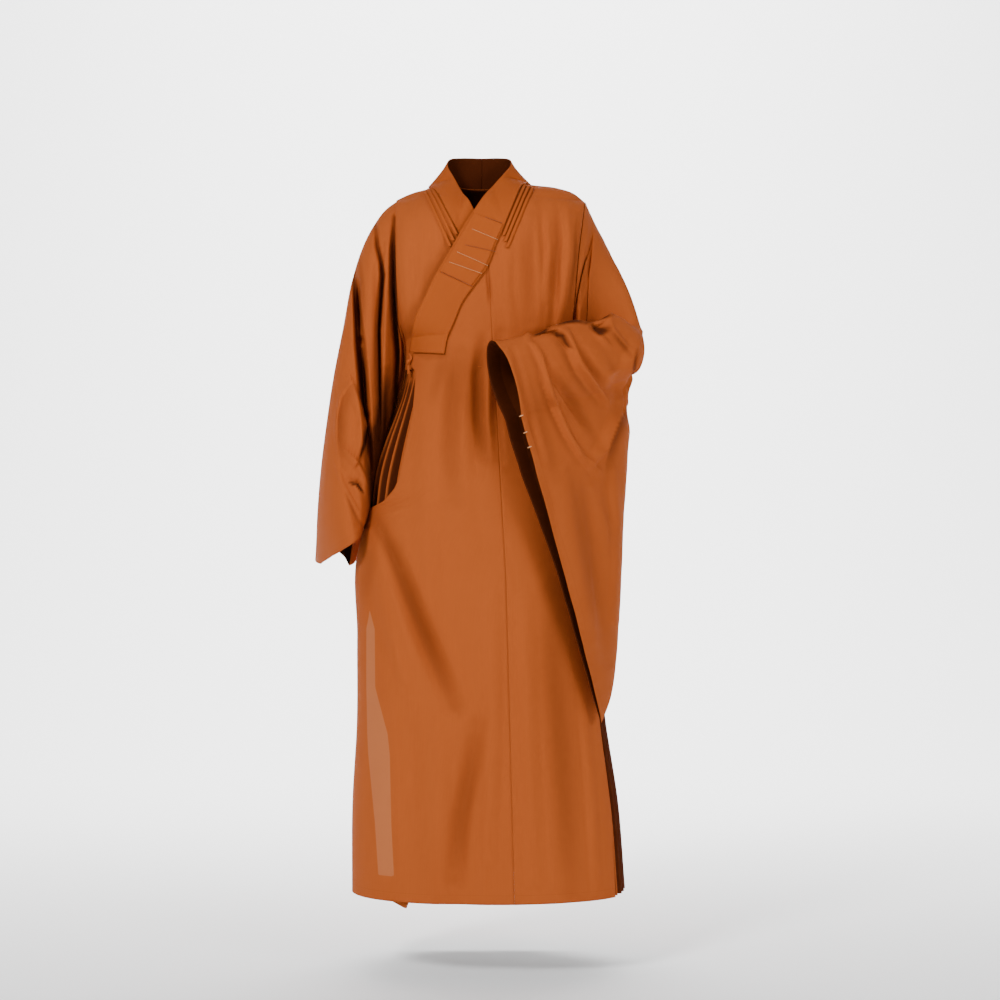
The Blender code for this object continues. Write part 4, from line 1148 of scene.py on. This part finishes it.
def make_backs(cloth):
    """The two back widths, from the shoulder line and the neck to the hem."""
    rows, columns = BACK_FINE
    runs = fine_runs(rows)
    drops = drop_of(runs)
    lap = SIDE + SEAM_ANGLE + (BACK_LAP_ANGLE - SIDE) * ease((drops - BACK_LAP_FROM) / BACK_LAP_OVER)
    half_gap = SEAM_OPEN / 2 / section(drops, "half_width")
    angles = between(lap, math.pi - half_gap, columns)
    neck = NECK_RUN * ease((np.linspace(0.0, 1.0, columns) - NECK_FROM) / NECK_OVER)
    run = runs[:, None] + neck[None, :] * (1 - ease(runs / NECK_FADE))[:, None]
    for name, side in (("left", 1), ("right", -1)):
        make_piece("back_width_" + name, body(side * angles, run), WALL, cloth, ["back_" + name], inside=1.0)


def make_side_pleats(cloth):
    """The pleated inserts, lapped inside the front and back panels at each side."""
    rows, columns = PLEATS_FINE
    drops = np.linspace(-PLEAT_TOP, HEM_DROP, rows)
    below = drops + PLEAT_TOP
    depth = PLEAT_SHALLOW + PLEAT_DEEPER * ease(below / PLEAT_DEEPER_OVER)
    share = np.linspace(0.0, 1.0, columns)
    folded = np.clip((share - PLEAT_FLAT) / PLEAT_FOLDED, 0.0, 1.0)
    wave = 0.5 - 0.5 * np.cos(2 * np.pi * PLEAT_WAVES * folded)
    under_front = PLEAT_ROOM * (1 - ease((share - 0.5) / PLEAT_ROOM_OVER))
    inset = LAP_INSET + under_front[None, :] + depth[:, None] * wave[None, :]
    # Painted shade between the pleats' ridges, towards the back and over the left insert
    troughs = ease(wave / PLEAT_EDGE)[None, :] * ease(below / PLEAT_DARK_OVER)[:, None]
    troughs = np.maximum(troughs, PLEAT_FAR_DARK * ease((share - PLEAT_FAR_FROM) / PLEAT_FAR_OVER)[None, :])
    for name, side, first_angle in (("left", 1, LEFT_PLEATS_FROM), ("right", -1, RIGHT_PLEATS_FROM)):
        start = math.radians(first_angle)
        angles = start + (BACK_LAP_ANGLE + PLEATS_OVER_BACK - start) * share
        grid = body(side * angles[None, :], run_of(drops)[:, None], -inset)
        dark = troughs
        if side > 0:
            dark = np.maximum(dark, ease((share - LEFT_DARK_FROM) / LEFT_DARK_OVER))
        nodes = ["side_pleats_" + name]
        make_piece("pleated_insert_" + name, grid, WALL, cloth, nodes, inside=1.0, dark=dark)


def cut_between(grid, top_line, bottom_line, rows):
    """The part of a band between two picture lines, as a grid of its own."""
    px, py = seen_grid(grid)
    steps = np.arange(len(grid), dtype=float)
    ends = []
    for x0, y0, x1, y1 in (top_line, bottom_line):
        past = py - (y0 + (px - x0) * (y1 - y0) / (x1 - x0))
        first = np.argmax(past > 0, axis=0)
        before = np.take_along_axis(past, first[None, :] - 1, axis=0)[0]
        after = np.take_along_axis(past, first[None, :], axis=0)[0]
        ends.append(first - 1 + before / (before - after))
    share = np.linspace(0.0, 1.0, rows)[:, None]
    wanted = ends[0][None, :] * (1 - share) + ends[1][None, :] * share
    part = np.empty((rows, grid.shape[1], 3))
    for strip in range(grid.shape[1]):
        for axis in range(3):
            part[:, strip, axis] = np.interp(wanted[:, strip], steps, grid[:, strip, axis])
    return part


def facing_front(grid):
    """A normal for each point of a grid, on the side that faces the front."""
    normals = grid_normals(grid, False)
    return np.where(normals[..., 1:2] > 0, -normals, normals)


def make_collar(band_cloth):
    """The two collar bands and the patch across one; returns that one's upper surface and normals."""
    rows, columns = BAND_FINE
    left = band_grid(LEFT_BAND, columns, rows, False)
    right = band_grid(RIGHT_BAND, columns, rows // 2, True)
    middle = (left[0, :, 0].mean() + right[0, :, 0].mean()) / 2
    left[0, :, 0] = middle + SEAM_OPEN / 2
    right[0, :, 0] = middle - SEAM_OPEN / 2
    make_piece("collar_lapped_over", left, COLLAR_WALL, band_cloth, ["collar_left"], inside=1.0)
    make_piece("collar_under", right, COLLAR_WALL, band_cloth, ["collar_right"], inside=1.0)
    patch = cut_between(left, PATCH_TOP_LINE, PATCH_BOTTOM_LINE, PATCH_ROWS)
    patch = patch + facing_front(patch) * (COLLAR_WALL / 2 + TRIM_WALL / 2 + GAP / 2)
    make_piece("collar_patch_cloth", patch[:, 1:-1], TRIM_WALL * PATCH_THIN, band_cloth, ["collar_patch"])
    normals = facing_front(left)
    return left + normals * (COLLAR_WALL / 2 + TRIM_WALL + GAP / 2), normals


def make_strips(band_cloth):
    """The layered strips beside the collar."""
    share = np.linspace(0.0, 1.0, STRIP_ROWS)[:, None]
    across = np.linspace(-0.5, 0.5, STRIP_COLUMNS)[None, :] * STRIP_WIDTH
    crown = STRIP_CROWN * (1 - np.linspace(-1.0, 1.0, STRIP_COLUMNS) ** 2)[None, :]
    lift = WALL / 2 + TRIM_WALL / 2 + GAP + ROOM + crown + 0 * share
    for name, side, strips in (("left", 1, LEFT_STRIPS), ("right", -1, RIGHT_STRIPS)):
        for number, (x0, z0, x1, z1) in enumerate(strips, start=1):
            x = x0 + (x1 - x0) * share + across * side
            z = z0 + (z1 - z0) * share + 0 * across
            nodes = [f"neck_trim_{name}_{number}"]
            strip = f"neck_strip_{name}_{number}"
            make_piece(strip, front_at(x, z, lift), TRIM_WALL * STRIP_THIN, band_cloth, nodes)


def sleeve_layers(side, ring, down, chord, values, front_folds, back_folds):
    """How far a sleeve's front and back layers belly out, and how round the ring is there."""
    leant = down ** values["lean"]
    lens = 2 * np.sqrt(np.clip(leant * (1 - leant), 0.0, 1.0))
    room = values["arm"] * np.sin(np.pi * np.clip(down / ARM_SHARE, 0.0, 1.0)) ** ARM_FULLNESS
    front = values["front"] * lens + room + sleeve_relief(ring, down, chord, front_folds) * lens
    back = values["back"] * lens + room + sleeve_relief(ring, down, chord, back_folds) * lens
    if side > 0:
        low = ease((down - SHUT_FROM_DOWN) / SHUT_OVER_DOWN)
        front = front * (1 - FAR_LAYER_SHUT * low * ease((ring - SHUT_FROM_RING) / SHUT_OVER_RINGS))
    across = ring * RING_SPACING + 0 * down
    along = down * chord
    seed = SLEEVE_SEEDS[side]
    rough = SLEEVE_ROUGH * unevenness(across, along, seed, SLEEVE_ROUGH_SIZE)
    rough = rough + SLEEVE_FINE_ROUGH * unevenness(along, across, seed + 1, SLEEVE_FINE_SIZE)
    rough = rough * np.clip(lens * ROUGH_SETTLES, 0.0, 1.0)
    return front + rough, back - rough, lens


def sleeve_grid(rings, side, at, turns, front_folds, back_folds, creases):
    """A sleeve's rings, and which places the camera sees. turns: 0 is the top, then the front layer."""
    values = {name: value[:, None] for name, value in ring_values(rings, at).items()}
    top = np.stack([values["top_" + axis] for axis in "xyz"], axis=-1)
    bottom = np.stack([values["bottom_" + axis] for axis in "xyz"], axis=-1)
    ring = at[:, None]
    if side < 0:
        near_body = bell(np.abs(ring - BOTTOM_RING) / BOTTOM_RINGS)
        bottom[..., 0] += BOTTOM_IN * near_body
        bottom[..., 1] += BOTTOM_BACK * near_body
    down = (1 - np.cos(turns)) / 2
    chord = np.linalg.norm(bottom - top, axis=-1)
    turn = np.radians(values["turn"])
    faces_back = np.stack([np.cos(turn), np.sin(turn), np.zeros_like(turn)], axis=-1)
    front, back, lens = sleeve_layers(side, ring, down, chord, values, front_folds, back_folds)
    in_front = np.sin(turns) >= 0
    offset = np.where(in_front, -front, back)
    base = top + (bottom - top) * down[..., None]
    px, py = seen_grid(base + faces_back * offset[..., None])
    if side > 0:
        lower = ease((ring - LOWER_CREASES_FROM) / SET_IN_OVER)
        upper = creases_at(px, py, creases[-UPPER_CREASES:])
        fine = creases_at(px, py, creases[:-UPPER_CREASES]) * lower + upper
        seen = ~in_front | (ring < BOTH_LAYERS_TO)
    else:
        fine = creases_at(px, py, creases)
        seen = in_front
    fine = np.where(seen, fine / 1000 * np.clip(lens * CREASES_SETTLE, 0.0, 1.0), 0.0)
    offset = offset + np.where(in_front, -fine, fine)
    clear = LAYERS_CLEAR * np.clip(lens * CLEAR_SETTLES, 0.0, 1.0)
    offset = np.where(in_front, np.minimum(offset, back - clear), np.maximum(offset, clear - front))
    grid = base + faces_back * offset[..., None]
    if side > 0:
        rise_x, rise_up = np.array(TOP_RISE, float).T
        edge = ease((ring - RISE_FROM) / RISE_OVER) * np.exp(-((down * chord / RISE_REACH) ** 2))
        grid[..., 2] += np.interp(px, rise_x, rise_up) / 1000 * edge
    seat = side_x(grid[:1, :, 2], side) + (WALL + GAP if side > 0 else SEAT_UNDER)
    grid[..., 0] += (seat - grid[:1, :, 0]) * np.clip(1 - ring / SEAT_RINGS, 0.0, 1.0) ** 2
    px, py = seen_grid(grid)
    if side > 0:
        past = ease((px - ELBOW_X) / ELBOW_OVER) * (ring > ELBOW_FROM)
        grid[..., 0] -= past * sum(shift * bell(np.abs(py - y) / reach) for y, reach, shift in ELBOW_SHIFTS)
    else:
        rim = ease((ring - (len(rings) - 1 - CUFF_RINGS)) / CUFF_RINGS)
        near = np.interp(px, CUFF_AT, CUFF_NEAR_UP) / 1000
        far = np.interp(px, CUFF_AT, CUFF_FAR_DOWN) / 1000
        far = far * (1 - ease((down - 1 + CUFF_CORNER) / CUFF_CORNER))
        grid[..., 2] += rim * np.where(in_front, near, -far)
    return grid, seen


def make_sleeves(cloth):
    """Both sleeves: tubes from the armhole to the cuff, open at each end. Returns the raised cuff's edge."""
    left = (
        "left", 1, LEFT_RINGS, LEFT_SLEEVE_FINE, LEFT_FRONT_FOLDS, LEFT_BACK_FOLDS, LEFT_CREASES, LEFT_SHADE,
    )
    right = (
        "right", -1, RIGHT_RINGS, RIGHT_SLEEVE_FINE, RIGHT_FRONT_FOLDS, RIGHT_BACK_FOLDS, RIGHT_CREASES,
        RIGHT_SHADE,
    )
    cuffs = []
    for name, side, rings, (rows, around), front_folds, back_folds, creases, shade in (left, right):
        last = len(rings) - 1.0
        at = np.linspace(0.0, 1.0, rows)
        at = last * (at + RINGS_CROWDED[side] * np.sin(np.pi * at))
        seen_count = int(SEEN_SHARE * around)
        front_count = seen_count if side < 0 else around - seen_count
        back_count = around - front_count
        half_turns = (np.arange(front_count) / front_count, 1 + np.arange(back_count) / back_count)
        turns = np.repeat(np.concatenate(half_turns)[None, :] * np.pi, rows, axis=0)
        grid, seen = sleeve_grid(rings, side, at, turns, front_folds, back_folds, creases)
        # Painted shade in the sleeve's folds, over the raised sleeve's far layer by the cuff, and on its
        # inner side
        dark = creases_at(*seen_grid(grid), shade) * seen
        ring = at[:, None]
        if side > 0:
            dark = dark * ease((ring - SHADE_FROM) / SET_IN_OVER)
            dark = np.maximum(dark, (np.sin(turns) > 0) * (ring > last - DARK_RIM))
        inside = SLEEVE_INSIDE_SHADE if side > 0 else 1.0
        nodes = ["sleeve_" + name]
        make_piece("wide_sleeve_" + name, grid, WALL, cloth, nodes, closed=True, inside=inside, dark=dark)
        cuffs.append(grid[-1, front_count + 1 :])
    return cuffs[0]


def make_side_tie(cloth):
    """The knotted tie at the right waist: a strip with a loop up and a tail down, and the knot over it."""
    lift = WALL / 2 + GAP + TIE_LIFT
    middle = front_at(np.array(TIE_X), np.array(TIE_Z), lift)
    across = unit(front_at(np.array(TIE_X + 0.01), np.array(TIE_Z), lift) - middle)
    upward = np.array([0.0, 0.0, 1.0])
    outward = unit(np.cross(across, upward))
    turns = np.linspace(0.0, 2 * np.pi, TIE_AROUND, endpoint=False)
    steps = np.linspace(0.0, len(TIE_PATH) - 1.0, TIE_ROWS)
    known = np.arange(len(TIE_PATH), dtype=float)
    along, up = (smooth_between(known, values, steps)[:, None] for values in np.array(TIE_PATH).T)
    from_knot = np.abs(steps - TIE_KNOT_ROW)[:, None]
    half = TIE_WIDTH / 2 * (1 + (KNOT_WIDER - 1) * bell(from_knot))
    bulge = KNOT_BULGE * bell(from_knot / KNOT_REACH)
    centre = middle + across * along + upward * up + outward * (bulge + TIE_THICK)
    pucker = 1 + PUCKER * np.sin(PUCKERS * turns) * bell(from_knot / PUCKER_REACH)
    sideways = half * np.cos(turns) * pucker
    thick = (TIE_THICK + 0.5 * bulge) * np.sin(turns) * pucker
    grid = centre[:, None] + across * sideways[..., None] + outward * thick[..., None]
    make_piece("side_tie_cloth", grid, TIE_WALL * TIE_THIN, cloth, ["side_tie"], closed=True)
    steps = np.linspace(-1.0, 1.0, KNOT_ROWS)[:, None]
    out = TIE_THICK + KNOT_BULGE + KNOT_CROWN * np.sqrt(1 - KNOT_ROUND * steps**2) - KNOT_SUNK
    centre = middle + across * steps * TIE_WIDTH * KNOT_HALF + upward * KNOT_TILT * steps + outward * out
    wrap = TIE_WIDTH * KNOT_HEIGHT * (1 - KNOT_TAPER * steps**2)
    up_way = upward * (wrap * np.cos(turns))[..., None]
    out_way = outward * (KNOT_THICK * np.sin(turns) + 0 * wrap)[..., None]
    make_piece("side_tie_knot", centre[:, None] + up_way + out_way, KNOT_WALL, cloth, [], closed=True)


def feed(tree, pairs):
    """Links or sets the socket of each pair of a socket and a value."""
    for socket, value in pairs:
        if isinstance(value, bpy.types.NodeSocket):
            tree.links.new(value, socket)
        else:
            socket.default_value = value


def calculate(tree, operation, first, second=0.0, clamp=False):
    """A math node on two numbers or outputs."""
    made = tree.nodes.new("ShaderNodeMath")
    made.operation = operation
    made.use_clamp = clamp
    feed(tree, zip(made.inputs, (first, second)))
    return made.outputs[0]


def blended(tree, amount, first, second):
    """One colour turning into another by an amount."""
    made = tree.nodes.new("ShaderNodeMix")
    made.data_type = "RGBA"
    feed(tree, ((made.inputs[0], amount), (made.inputs[6], first), (made.inputs[7], second)))
    return made.outputs[2]


def texture(tree, kind, vector, scales, **values):
    """A texture on a scaled coordinate."""
    mapping = tree.nodes.new("ShaderNodeMapping")
    made = tree.nodes.new(kind)
    feed(tree, ((mapping.inputs["Scale"], scales), (mapping.inputs["Vector"], vector)))
    feed(tree, [(made.inputs[name], value) for name, value in values.items()])
    tree.links.new(mapping.outputs[0], made.inputs["Vector"])
    return made


def stored(tree, name):
    """The number that a mesh stores on its points under a name."""
    made = tree.nodes.new("ShaderNodeAttribute")
    made.attribute_name = name
    return made.outputs["Fac"]


def new_material(name, roughness):
    """A material with nodes, and its tree and shader."""
    material = bpy.data.materials.new(name)
    material.use_nodes = True
    shader = material.node_tree.nodes["Principled BSDF"]
    shader.inputs["Roughness"].default_value = roughness
    return material, material.node_tree, shader


def darker(colour, share):
    """A colour with a share of its brightness."""
    return tuple(channel * share for channel in colour[:3]) + (1.0,)


def woven_cloth(name, colour, lighter, hem_stitches):
    """Plain woven cloth: fine warp streaks, slow changes of tone and a soft sheen, with painted shade on its
    inner side and in its folds and painted light in its pale band.
    """
    material, tree, shader = new_material(name, CLOTH_ROUGHNESS)
    shader.inputs["Specular IOR Level"].default_value = CLOTH_SPECULAR
    shader.inputs["Sheen Weight"].default_value = SHEEN_WEIGHT
    shader.inputs["Sheen Roughness"].default_value = SHEEN_ROUGHNESS
    shader.inputs["Sheen Tint"].default_value = SHEEN_TINT
    cloth = tree.nodes.new("ShaderNodeUVMap")
    cloth.uv_map = "cloth"
    flat = cloth.outputs[0]
    place = tree.nodes.new("ShaderNodeTexCoord").outputs["Object"]
    slow = texture(tree, "ShaderNodeTexNoise", place, SLOW_TONES, Scale=1.0, Detail=3.0)
    streaks = texture(tree, "ShaderNodeTexNoise", flat, STREAKS, Scale=1.0, Detail=2.0)
    warp = texture(tree, "ShaderNodeTexWave", flat, (1.0, 0.05, 1.0), Scale=WEAVE, Distortion=0.6)
    weft = texture(tree, "ShaderNodeTexWave", flat, (0.05, 1.0, 1.0), Scale=WEAVE, Distortion=0.6)
    weft.bands_direction = "Y"
    tone = blended(tree, slow.outputs[0], colour, lighter)
    streak = calculate(tree, "SUBTRACT", streaks.outputs[0], STREAK_FROM)
    streak = calculate(tree, "MULTIPLY", streak, STREAK_AMOUNT, clamp=True)
    tone = blended(tree, streak, tone, darker(colour, STREAK_TONE))
    height = calculate(tree, "ADD", warp.outputs["Fac"], weft.outputs["Fac"])
    height = calculate(tree, "ADD", height, streaks.outputs[0])
    if hem_stitches:
        hem = stored(tree, "to_hem")
        away = calculate(tree, "ABSOLUTE", calculate(tree, "SUBTRACT", hem, HEM_STITCH))
        line = calculate(tree, "LESS_THAN", away, STITCH_HALF)
        across = tree.nodes.new("ShaderNodeSeparateXYZ")
        tree.links.new(flat, across.inputs[0])
        beat = calculate(tree, "FRACT", calculate(tree, "MULTIPLY", across.outputs[0], 1 / STITCH_PITCH))
        dash = calculate(tree, "MULTIPLY", calculate(tree, "LESS_THAN", beat, STITCH_SHARE), line)
        tone = blended(tree, calculate(tree, "MULTIPLY", dash, STITCH_TONE), tone, THREAD_DARK)
        fold = calculate(tree, "MULTIPLY", calculate(tree, "LESS_THAN", hem, HEM_STITCH), HEM_RAISED)
        height = calculate(tree, "ADD", height, fold)
    # Painted light in the pale band, where light shines through a single layer of cloth
    light_through = calculate(tree, "MULTIPLY", stored(tree, "pale"), PALE_EDGE, clamp=True)
    tone = blended(tree, calculate(tree, "MULTIPLY", light_through, PALE_AMOUNT), tone, PAINTED_LIGHT_COLOUR)
    # Painted shade: insides and folds turn towards the shade colour
    tone = blended(tree, stored(tree, "painted_shade"), tone, PAINTED_SHADE_COLOUR)
    tree.links.new(tone, shader.inputs["Base Color"])
    bump = tree.nodes.new("ShaderNodeBump")
    bump.inputs["Strength"].default_value = WEAVE_STRENGTH
    bump.inputs["Distance"].default_value = WEAVE_HEIGHT
    tree.links.new(height, bump.inputs["Height"])
    tree.links.new(bump.outputs[0], shader.inputs["Normal"])
    return material


def thread_material(name, colour):
    """Sewing thread: a fine twist on a plain colour."""
    material, tree, shader = new_material(name, THREAD_ROUGHNESS)
    place = tree.nodes.new("ShaderNodeTexCoord").outputs["Object"]
    twist = texture(tree, "ShaderNodeTexWave", place, THREAD_TWIST, Scale=1.0, Distortion=1.0)
    tone = blended(tree, twist.outputs["Fac"], darker(colour, TWIST_TONE), colour)
    tree.links.new(tone, shader.inputs["Base Color"])
    return material


def nearest_on(grid, normals, x, z):
    """The point and normal of a grid's surface at an x and z, seen from the front."""
    flat = grid.reshape(-1, 3)
    away = np.hypot(flat[:, 0] - x, flat[:, 2] - z)
    near = np.argsort(away)[:4]
    weight = 1 / (away[near] + 1e-6)
    weight /= weight.sum()
    y = (flat[near, 1] * weight).sum()
    normal = unit((normals.reshape(-1, 3)[near] * weight[:, None]).sum(axis=0))
    return np.array([x, y, z]), normal


def capsule(points, faces, start, end, radius, outward):
    """Adds a short thread between two points to lists of points and faces."""
    sides = 6
    stations = ((0.0, 0.15), (0.12, 0.85), (0.5, 1.0), (0.88, 0.85), (1.0, 0.15))
    along = end - start
    sideways = unit(np.cross(along, outward))
    first = len(points)
    for share, size in stations:
        centre = start + along * share + outward * radius * 1.2 * math.sin(math.pi * share)
        for step in range(sides):
            turn = 2 * math.pi * step / sides
            points.append(centre + (sideways * math.cos(turn) + outward * math.sin(turn)) * radius * size)
    for station in range(len(stations) - 1):
        for step in range(sides):
            a = first + station * sides + step
            b = first + station * sides + (step + 1) % sides
            faces.append((a, b, b + sides, a + sides))
    faces.append(tuple(first + step for step in reversed(range(sides))))
    faces.append(tuple(first + (len(stations) - 1) * sides + step for step in range(sides)))


def add_threads(name, runs, radius, pitch, share, material):
    """Rows of stitches along runs of points with normals, as one piece."""
    points = []
    faces = []
    for places, outwards in runs:
        lengths = np.linalg.norm(np.diff(places, axis=0), axis=-1)
        reached = np.concatenate([[0.0], np.cumsum(lengths)])
        count = max(1, int(round(reached[-1] / pitch)))

        def along(values, stitches):
            at = stitches * reached[-1] / count
            return np.array([np.interp(at, reached, values[:, axis]) for axis in range(3)])

        for index in range(count):
            start = along(places, index + 0.5 - share / 2)
            end = along(places, index + 0.5 + share / 2)
            capsule(points, faces, start, end, radius, unit(along(outwards, index + 0.5)))
    mesh = bpy.data.meshes.new(name)
    mesh.from_pydata([tuple(point) for point in points], [], faces)
    mesh.shade_smooth()
    mesh.materials.append(material)
    made = linked(name, mesh)
    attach(made, "root")
    return made


def place_at(px, py, y):
    """The x and z of a picture point at a depth."""
    span = (CAMERA_AWAY + y) / PIXELS_A_METRE
    return CAMERA_X + (px - 500) * span, CAMERA_Z - (py - 500) * span


def add_patch_stitches(surface, normals, pale, dark):
    """The sewn lines across the stitched patch."""
    for name, lines, material in (("pale", PATCH_PALE_LINES, pale), ("dark", PATCH_DARK_LINES, dark)):
        runs = []
        for x0, y0, x1, y1 in lines:
            places = []
            outwards = []
            for share in np.linspace(0.0, 1.0, 24):
                x, z = place_at(x0 + (x1 - x0) * share, y0 + (y1 - y0) * share, PATCH_DEPTH)
                point, outward = nearest_on(surface, normals, x, z)
                places.append(point)
                outwards.append(outward)
            runs.append((np.array(places), np.array(outwards)))
        add_threads("patch_stitches_" + name, runs, THREAD_RADIUS, PATCH_PITCH, PATCH_STITCH_SHARE, material)


def add_cuff_tacks(cuff, material):
    """Three short bars of thread over the raised sleeve's cuff edge."""
    px, py = seen_grid(cuff)
    half = np.array(TACK_DIRECTION) * TACK_LENGTH / 2
    outwards = np.array([[0.0, -1.0, 0.0], [0.0, -1.0, 0.0]])
    runs = []
    for x, y in CUFF_TACKS:
        place = cuff[np.argmin(np.hypot(px - x, py - y))] + np.array([0.0, -TACK_OUT, 0.0])
        runs.append((np.array([place - half, place + half]), outwards))
    add_threads("cuff_tacks", runs, TACK_RADIUS, TACK_LENGTH, 1.0, material)


def add_stage():
    """A pale floor that curves up behind, three soft lamps and the camera."""
    curve = [
        (FLOOR_TURN * (1 + math.sin(turn)), FLOOR_TURN * (1 - math.cos(turn)))
        for turn in np.linspace(0.1, math.pi / 2, 16)
    ]
    profile = [(-6.0, 0.0), (FLOOR_TURN, 0.0)] + curve + [(2 * FLOOR_TURN, BACKDROP_TOP)]
    points = [(x, y, FLOOR_Z + z) for y, z in profile for x in (-FLOOR_HALF, FLOOR_HALF)]
    faces = [(2 * row, 2 * row + 1, 2 * row + 3, 2 * row + 2) for row in range(len(profile) - 1)]
    mesh = bpy.data.meshes.new("floor")
    mesh.from_pydata(points, [], faces)
    mesh.shade_smooth()
    floor = linked("floor", mesh)
    material, _, shader = new_material("pale_floor", FLOOR_ROUGHNESS)
    shader.inputs["Base Color"].default_value = FLOOR_COLOUR
    mesh.materials.append(material)
    world = bpy.data.worlds.new("studio")
    world.use_nodes = True
    world.node_tree.nodes["Background"].inputs[0].default_value = (1.0, 1.0, 1.0, 1.0)
    world.node_tree.nodes["Background"].inputs[1].default_value = WORLD_STRENGTH
    bpy.context.scene.world = world
    for name, place, aim, size, power in LAMPS:
        lamp = bpy.data.lights.new(name, "AREA")
        lamp.size = size
        lamp.energy = power
        holder = linked(name, lamp)
        holder.location = place
        way = np.array(aim) - np.array(place)
        flat = math.hypot(way[0], way[1])
        holder.rotation_euler = (math.atan2(flat, -way[2]), 0.0, math.atan2(-way[0], way[1]))
    camera = bpy.data.cameras.new("camera")
    camera.lens = CAMERA_LENS
    camera.sensor_width = CAMERA_SENSOR
    holder = linked("camera", camera)
    holder.location = (CAMERA_X, -CAMERA_AWAY, CAMERA_Z)
    holder.rotation_euler = (math.pi / 2, 0.0, 0.0)
    bpy.context.scene.camera = holder


def build():
    """The whole visible robe."""
    cloth = woven_cloth("robe_cloth", CLOTH_COLOUR, CLOTH_LIGHTER, True)
    band_cloth = woven_cloth("collar_cloth", BAND_COLOUR, BAND_LIGHTER, False)
    pale_thread = thread_material("pale_thread", THREAD_PALE)
    dark_thread = thread_material("dark_thread", THREAD_DARK)
    make_fronts(cloth)
    make_inner_front(cloth)
    make_backs(cloth)
    make_side_pleats(cloth)
    surface, normals = make_collar(band_cloth)
    make_strips(band_cloth)
    raised_cuff = make_sleeves(cloth)
    make_side_tie(cloth)
    add_patch_stitches(surface, normals, pale_thread, dark_thread)
    add_cuff_tacks(raised_cuff, pale_thread)
    add_stage()


build()
